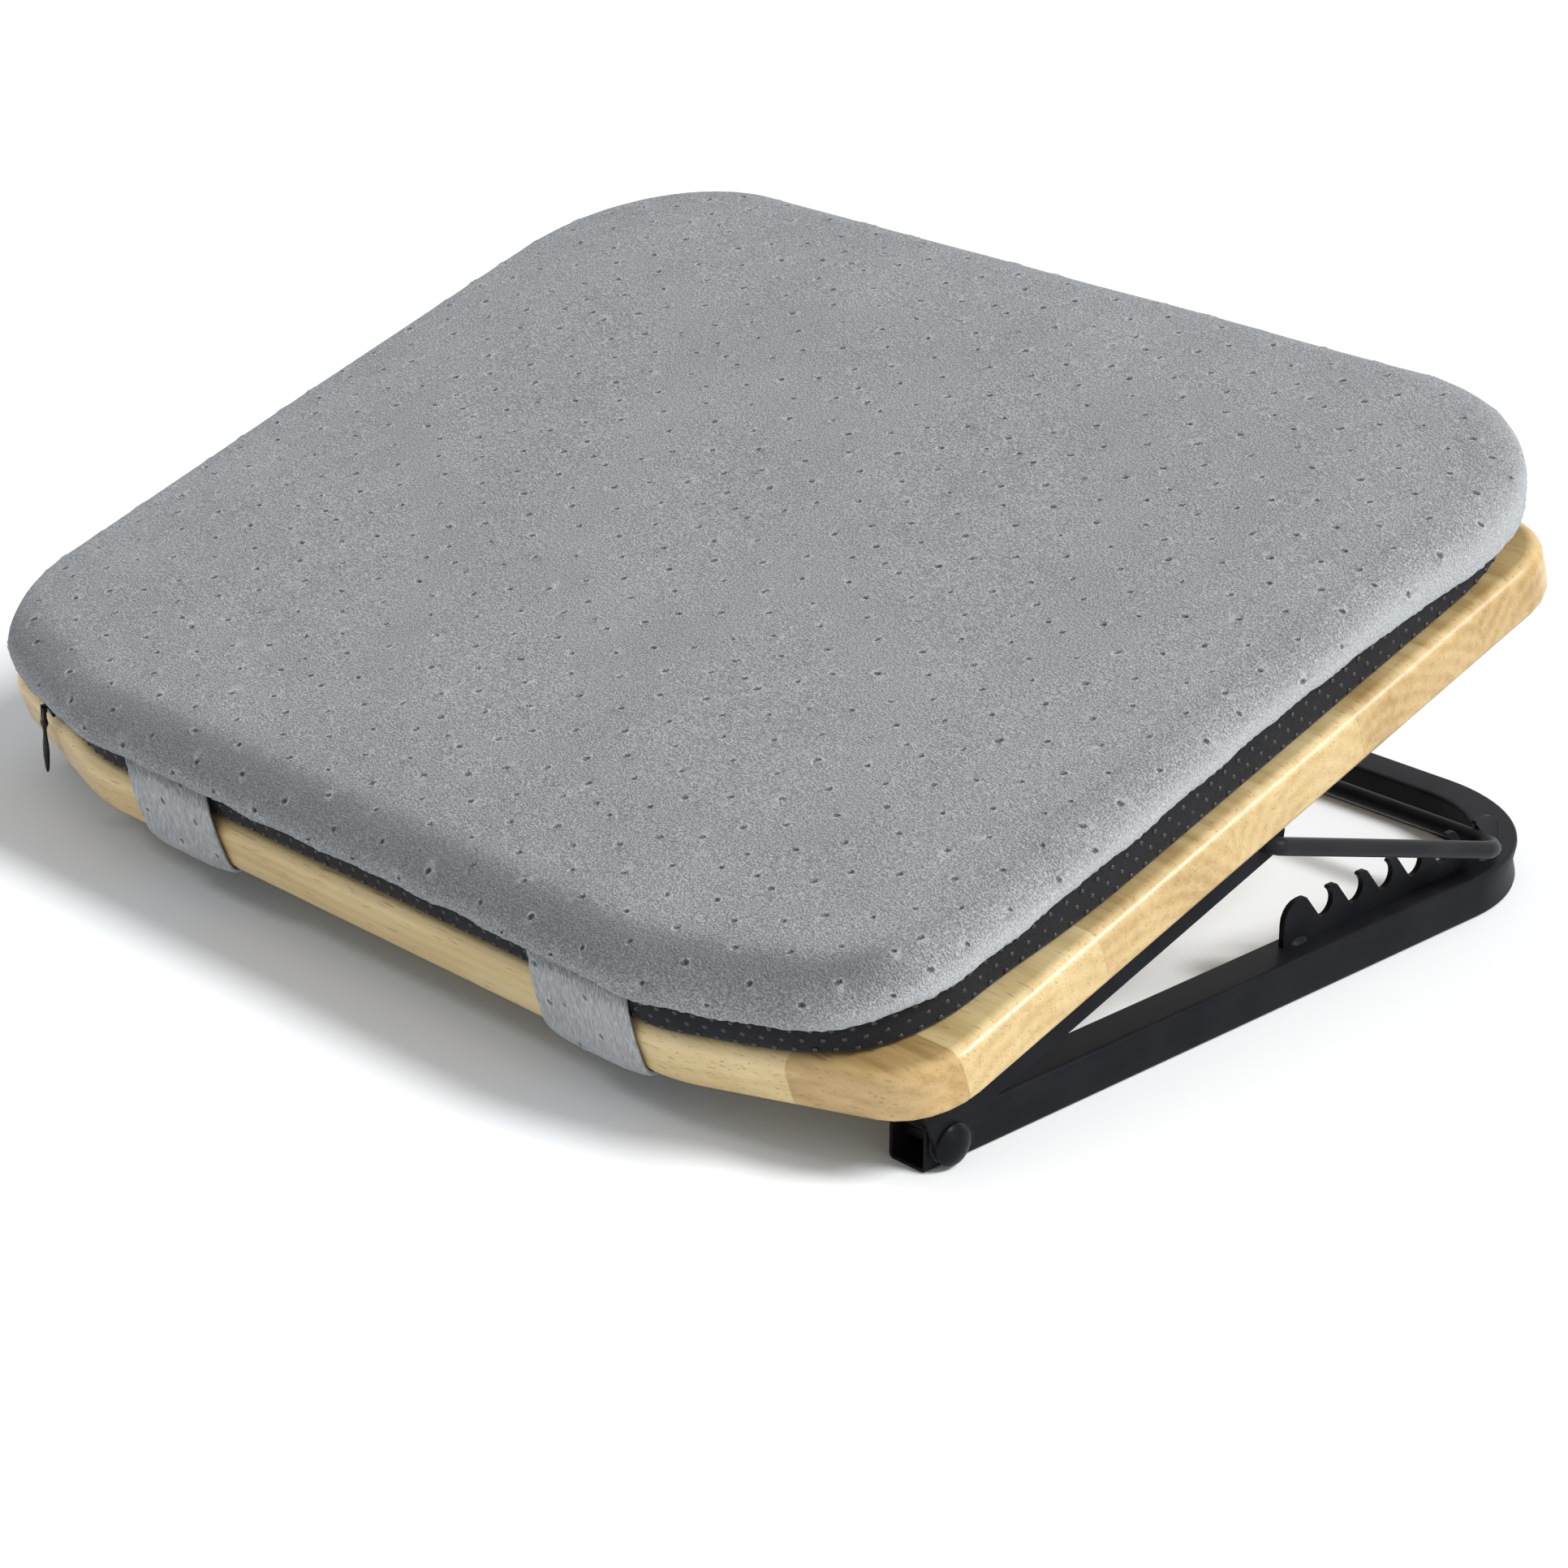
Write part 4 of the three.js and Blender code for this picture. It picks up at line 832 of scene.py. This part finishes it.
def wood_paint():
    """Finger-jointed staves of pale hardwood under a clear satin lacquer."""
    p = Paint("pale_wood")
    at = p.place()
    x, v, n = p.node("ShaderNodeSeparateXYZ", {"Vector": at}).outputs
    end = p.spread(p.math("ABSOLUTE", x), *END_FACE)
    top = p.spread(n, *TOP_FACE)

    along = p.math("DIVIDE", p.math("ADD", v, STAVE_START), STAVE_WIDTH)
    stave = p.math("FLOOR", along)
    jog = p.times(p.math("FRACT", p.times(stave, JOG_STEP, JOG_START)), STAVE_LENGTH)
    from_end = p.math("ADD", p.math("SUBTRACT", jog, x), BLOCK_START)
    block = p.math("FLOOR", p.math("DIVIDE", from_end, STAVE_LENGTH))
    first = p.node("ShaderNodeValToRGB", {"Fac": p.math("DIVIDE", p.math("ADD", stave, 0.5), len(STAVE_TONES))})
    first.color_ramp.interpolation = "CONSTANT"
    for i, shade in enumerate(STAVE_TONES):
        stop = first.color_ramp.elements[0] if i == 0 else first.color_ramp.elements.new(i / len(STAVE_TONES))
        stop.color = (shade, shade, shade, 1)
    tone = p.math("FRACT", p.times(block, TONE_STEP, first.outputs["Color"]))
    key = p.node("ShaderNodeCombineXYZ", {0: stave, 1: block, 2: BLOCK_SEED}).outputs[0]
    seed = p.node("ShaderNodeTexWhiteNoise", {"Vector": key}, noise_dimensions="3D").outputs["Color"]
    seeds = p.node("ShaderNodeSeparateColor", {"Color": seed}).outputs

    # Growth rings round a heart that lies off each stave
    heart_v = p.math("SUBTRACT", v, p.times(stave, STAVE_WIDTH, p.times(seeds[0], *HEART_V)))
    heart_n = p.math("ADD", n, p.times(seeds[1], *HEART_N))
    far = p.math("SQRT", p.math("ADD", p.times(heart_v, heart_v), p.times(heart_n, heart_n)))
    warp = p.fibres(at, WARP)
    ring = p.math("SINE", p.times(p.times(warp, RING_WANDER, far), RING_TURNS))
    streak = p.fibres(at, STREAKS, 4.0, 0.6)
    cloudy = p.fibres(at, CLOUDS, 3.0)
    clear = p.times(top, RING_ON_TOP, p.times(end, RING_AT_END, RING_PART))
    grain = p.times(ring, clear, p.times(streak, STREAK_PART, p.times(cloudy, CLOUD_PART)))
    grain = p.spread(grain, *GRAIN_REACH)
    body = p.mix(tone, p.ramp(grain, PALE_WOOD), p.ramp(grain, TAN_WOOD))

    pores = p.spread(p.fibres(at, PORES, 1.0), *PORE_REACH)
    colour = p.mix(p.times(pores, PORE_SHARE), body, PORE_SHADE)
    colour = p.mix(end, colour, END_TINT, "MULTIPLY")
    # Painted shade on the top face and on the underside
    colour = p.mix(top, colour, TOP_PAINTED_SHADE, "MULTIPLY")
    colour = p.mix(p.spread(n, *UNDER_FACE), colour, UNDER_PAINTED_SHADE, "MULTIPLY")
    from_joint = p.math("ABSOLUTE", p.math("SUBTRACT", p.math("FRACT", along), 0.5))
    colour = p.mix(p.times(p.spread(from_joint, *JOINT_REACH), JOINT_SHARE), colour, JOINT_SHADE)
    rise = p.bump(p.times(streak, 0.5, p.times(pores, -1.0)), *WOOD_RELIEF)
    return p.set(
        Base_Color=colour, Roughness=p.level(cloudy, 0.36, 0.5), Normal=rise, Coat_Weight=0.32, Coat_Roughness=0.24,
        Specular_IOR_Level=0.25)


# The coat's orange peel and patches per metre, the bend at which an edge lightens, the share of that lightening and
# its colour, partly wear and partly a painted highlight
PEEL, PATCHES, EDGE_BEND, EDGE_WEAR_AND_HIGHLIGHT, WORN_EDGE_AND_HIGHLIGHT = 2400.0, 55.0, (0.52, 0.62), 0.3, (0.055, 0.057, 0.062, 1)
# How far roughness varies below and above its mean
SMOOTHER, ROUGHER = 0.06, 0.08


def coated_paint(name, dark, light, rough, board=False):
    """Satin black powder coat with a fine orange peel and lighter edges, partly wear and partly a painted highlight.
    """
    p = Paint(name)
    at = p.place(board)
    peel = p.noise(at, PEEL)
    patch = p.noise(at, PATCHES, 3.0)
    edge = p.spread(p.node("ShaderNodeNewGeometry").outputs["Pointiness"], *EDGE_BEND)
    # Convex edges lighter: partly wear, partly a painted highlight
    colour = p.mix(p.times(edge, EDGE_WEAR_AND_HIGHLIGHT), p.ramp(patch, [(0.3, dark), (0.7, light)]), WORN_EDGE_AND_HIGHLIGHT)
    gloss = p.level(p.times(peel, 0.5, p.times(patch, 0.5)), rough - SMOOTHER, rough + ROUGHER)
    return p.set(Base_Color=colour, Roughness=gloss, Normal=p.bump(peel, 0.16, 0.0002), Specular_IOR_Level=0.06)


def zinc_paint():
    p = Paint("zinc_steel")
    at = p.place(False)
    brush = p.fibres(at, (300, 3200, 3200), 3.0)
    colour = p.ramp(p.noise(at, 260.0, 3.0), [(0.3, (0.50, 0.51, 0.50)), (0.7, (0.66, 0.67, 0.68))])
    return p.set(
        Base_Color=colour, Metallic=1.0, Roughness=p.level(brush, 0.26, 0.42), Normal=p.bump(brush, 0.1, 0.0001))


def grit_paint(name, grit_size, dark, light, smooth, rough, strength, board):
    """Plain black plastic or rubber with a fine grit."""
    p = Paint(name)
    grit = p.noise(p.place(board), grit_size)
    return p.set(
        Base_Color=p.ramp(grit, [(0.3, dark), (0.7, light)]), Roughness=p.level(grit, smooth, rough),
        Normal=p.bump(grit, strength, 0.0001))


# The knit's and the tape's threads as turns per metre, and their fuzz
WALES, COURSES, KNIT_FUZZ = 7800.0, 9000.0, 1500.0
WARP_TURNS, WEFT_TURNS, TAPE_FUZZ = 9500.0, 11000.0, 1800.0


def knit_paint():
    """Black knit: wales and courses with fuzz over them."""
    p = Paint("grip_knit")
    at = p.place()
    x, v, n = p.node("ShaderNodeSeparateXYZ", {"Vector": at}).outputs
    wale = p.math("SINE", p.times(p.math("ADD", x, v), WALES))
    course = p.math("SINE", p.times(n, COURSES, p.times(wale, 0.8)))
    loop = p.times(wale, 0.5, p.times(course, 0.5))
    fuzz = p.noise(at, KNIT_FUZZ, 3.0)
    tone = p.times(loop, 0.2, fuzz)
    colour = p.ramp(p.spread(tone, 0.2, 0.85), [(0.0, (0.004, 0.004, 0.005)), (1.0, (0.022, 0.023, 0.026))])
    return p.set(
        Base_Color=colour, Roughness=p.level(fuzz, 0.82, 0.95), Normal=p.bump(tone, 0.5, 0.0003), Sheen_Weight=0.08,
        Sheen_Roughness=0.4, Specular_IOR_Level=0.2)


def tape_paint():
    """Black woven tape."""
    p = Paint("black_tape")
    at = p.place()
    x, v, n = p.node("ShaderNodeSeparateXYZ", {"Vector": at}).outputs
    warp = p.math("SINE", p.times(p.math("ADD", x, v), WARP_TURNS))
    weave = p.times(warp, p.math("SINE", p.times(n, WEFT_TURNS)))
    fuzz = p.noise(at, TAPE_FUZZ)
    colour = p.ramp(p.times(weave, 0.15, fuzz), [(0.3, (0.006, 0.006, 0.007)), (0.75, (0.02, 0.02, 0.022))])
    return p.set(Base_Color=colour, Roughness=p.level(fuzz, 0.7, 0.9), Normal=p.bump(weave, 0.3, 0.0002))


def gloss_paint(name, rough):
    """Black lacquer, a little worn."""
    p = Paint(name)
    wear = p.noise(p.place(False), 700.0, 3.0)
    return p.set(
        Base_Color=p.ramp(wear, [(0.35, (0.006, 0.006, 0.007)), (0.8, (0.02, 0.02, 0.022))]),
        Roughness=p.level(wear, rough - SMOOTHER, rough + ROUGHER), Normal=p.bump(wear, 0.08, 0.0001), Coat_Weight=0.1,
        Coat_Roughness=0.12, Specular_IOR_Level=0.15)


def floor_paint():
    p = Paint("studio_floor")
    colour = p.ramp(p.noise(p.place(False), 3.0), [(0.0, (0.90, 0.915, 0.93)), (1.0, (0.92, 0.935, 0.95))])
    return p.set(Base_Color=colour, Roughness=0.85, Specular_IOR_Level=0.1)


DEEP_BLACK = (0.0055, 0.0058, 0.0075)

paints = {
    "frame": coated_paint("frame_steel", DEEP_BLACK, (0.0095, 0.0100, 0.0122), 0.42),
    "rail": coated_paint("rail_steel", DEEP_BLACK, (0.0100, 0.0105, 0.0128), 0.44, board=True),
    "rod": coated_paint("rod_steel", (0.008, 0.0083, 0.010), (0.015, 0.0155, 0.018), 0.36),
    "rivet": coated_paint("rivet_steel", (0.0055, 0.0058, 0.007), (0.010, 0.0105, 0.012), 0.30),
    "zinc": zinc_paint(),
    "nylon": grit_paint("nylon", 3000.0, (0.008, 0.008, 0.009), (0.016, 0.016, 0.017), 0.5, 0.64, 0.1, False),
    "wood": wood_paint(),
    "velour": velour_paint("velour", COVER_PILE),
    "strap": velour_paint("strap_velour", STRAP_PILE),
    "knit": knit_paint(),
    "rubber": grit_paint("grip_rubber", 2200.0, (0.010, 0.010, 0.012), (0.022, 0.022, 0.025), 0.28, 0.42, 0.12, True),
    "tape": tape_paint(),
    "teeth": gloss_paint("zip_coil", 0.38),
    "zip": gloss_paint("zip_metal", 0.24),
}


# CAD pieces keep their shape and get softer edges, smooth shading and a finish

# What a node's name starts with, its paint and how wide its edges are softened, in mm
FINISH = {
    "base_tube": ("frame", 0.2), "rack_": ("frame", 0.25), "rack_weld_": ("frame", 0.2),
    "pivot_rivet_": ("rivet", 0.15), "pivot_washer_": ("nylon", 0.05), "pivot_collar_": ("zinc", 0.15),
    "board_panel": ("wood", 0), "rail_": ("rail", 0.3), "rail_screw_": ("zinc", 0.1), "zipper_slider": ("zip", 0.3),
    "zipper_pull": ("zip", 0.08), "prop_rod": ("rod", 0.2), "prop_clip_": ("zinc", 0.12),
}
WELD_REACH, SHARP_FROM, EDGE_SEGMENTS, FLAT_WEIGHT = 2e-6, math.radians(38), 2, 60


def dress(node, paint, soft_edge):
    node.data.materials.clear()
    node.data.materials.append(paint)
    node.data.polygons.foreach_set("use_smooth", [True] * len(node.data.polygons))
    weld = node.modifiers.new("weld", "WELD")
    weld.merge_threshold = WELD_REACH
    if soft_edge:
        bevel = node.modifiers.new("edges", "BEVEL")
        bevel.limit_method, bevel.angle_limit = "ANGLE", SHARP_FROM
        bevel.width, bevel.segments = soft_edge * MM, EDGE_SEGMENTS
    flat = node.modifiers.new("shading", "WEIGHTED_NORMAL")
    flat.weight, flat.keep_sharp = FLAT_WEIGHT, False


for name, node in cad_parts.items():
    rule = max((key for key in FINISH if name.startswith(key)), key=len, default=None)
    if rule:
        dress(node, paints[FINISH[rule][0]], FINISH[rule][1])


# Soft pieces

cushion = velour_cover(paints["velour"])
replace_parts(cushion, "cushion_cover", "cushion_foam")

base = grip_pad(paints["knit"])
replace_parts(base, "grip_base")
grip_dots(paints["rubber"])

# Each strap's middle, the shift of its pattern along it, and how far its upper end leans aside
for name, middle, shift, skew in (("left", -92.0, 4.0, -3.0), ("right", 112.0, 17.0, -1.5)):
    strap, strap_length = velour_strap(f"velour_strap_{name}", middle, shift, skew, paints["strap"])
    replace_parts(strap, f"strap_{name}")
    patch = hook_patch(f"hook_patch_{name}", middle, paints["tape"])
    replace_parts(patch, f"strap_patch_{name}")

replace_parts(zip_chain(paints["tape"], paints["teeth"]), "zipper_tape")


# Studio

FLOOR_REACH, FLOOR_SINK = 9.0, 0.0002
# Each lamp's direction, the width of its disc in degrees and its level
LAMPS = (
    ("key", (0.66, 0.26, 0.705), 19, 1.0),
    ("right", (0.93, 0.15, 0.33), 40, 0.17),
    ("left", (-0.65, -0.40, 0.65), 14, 0.13),
)
LAMP_DISTANCE = 2
SKY_COLOUR, SKY_LEVEL, WHITE = (0.955, 0.98, 1.0, 1), 0.44, (1, 1, 1, 1)
SENSOR, LENS, NEAR_CLIP, FAR_CLIP = 36.0, 95.52, 0.05, 60.0
AZIMUTH, ELEVATION, DISTANCE = math.radians(46.42), math.radians(22.77), 1.31324
TARGET = Vector((0.08139, -0.23881, 0.06133))


def turn_to(holder, direction):
    """Turns an object's back towards a direction."""
    holder.rotation_mode = "QUATERNION"
    holder.rotation_quaternion = direction.to_track_quat("Z", "Y")


def studio():
    scene = bpy.context.scene
    mesh = bpy.data.meshes.new("studio_floor")
    corners = [(-1, -1), (1, -1), (1, 1), (-1, 1)]
    mesh.from_pydata([(FLOOR_REACH * x, FLOOR_REACH * y, 0) for x, y in corners], [], [(0, 1, 2, 3)])
    floor = bpy.data.objects.new("studio_floor", mesh)
    mesh.materials.append(floor_paint())
    scene.collection.objects.link(floor)
    floor.location.z = -FLOOR_SINK

    for name, direction, wide, level in LAMPS:
        lamp = bpy.data.lights.new(name, "SUN")
        lamp.angle = math.radians(wide)
        lamp.energy = level * math.pi
        holder = bpy.data.objects.new(name, lamp)
        towards = Vector(direction).normalized()
        holder.location = towards * LAMP_DISTANCE
        turn_to(holder, towards)
        scene.collection.objects.link(holder)

    world = bpy.data.worlds.new("studio")
    scene.world = world
    world.use_nodes = True
    tree = world.node_tree
    tree.nodes.clear()
    mix = tree.nodes.new("ShaderNodeMixShader")
    for socket, colour, strength in ((1, SKY_COLOUR, SKY_LEVEL), (2, WHITE, 1.0)):
        light = tree.nodes.new("ShaderNodeBackground")
        light.inputs["Color"].default_value = colour
        light.inputs["Strength"].default_value = strength
        tree.links.new(light.outputs[0], mix.inputs[socket])
    rays = tree.nodes.new("ShaderNodeLightPath").outputs
    seen = rays["Is Camera Ray"]
    for kind in ("Is Glossy Ray", "Is Transmission Ray"):
        either = tree.nodes.new("ShaderNodeMath")
        either.operation = "MAXIMUM"
        tree.links.new(seen, either.inputs[0])
        tree.links.new(rays[kind], either.inputs[1])
        seen = either.outputs[0]
    tree.links.new(seen, mix.inputs[0])
    output = tree.nodes.new("ShaderNodeOutputWorld")
    tree.links.new(mix.outputs[0], output.inputs["Surface"])
    scene.view_settings.view_transform = "Standard"


def camera():
    data = bpy.data.cameras.new("camera")
    data.sensor_width, data.lens = SENSOR, LENS
    data.clip_start, data.clip_end = NEAR_CLIP, FAR_CLIP
    holder = bpy.data.objects.new("camera", data)
    flat = math.cos(ELEVATION)
    back = Vector((math.sin(AZIMUTH) * flat, -math.cos(AZIMUTH) * flat, math.sin(ELEVATION)))
    holder.location = TARGET + back * DISTANCE
    turn_to(holder, back)
    bpy.context.scene.collection.objects.link(holder)
    bpy.context.scene.camera = holder


studio()
camera()
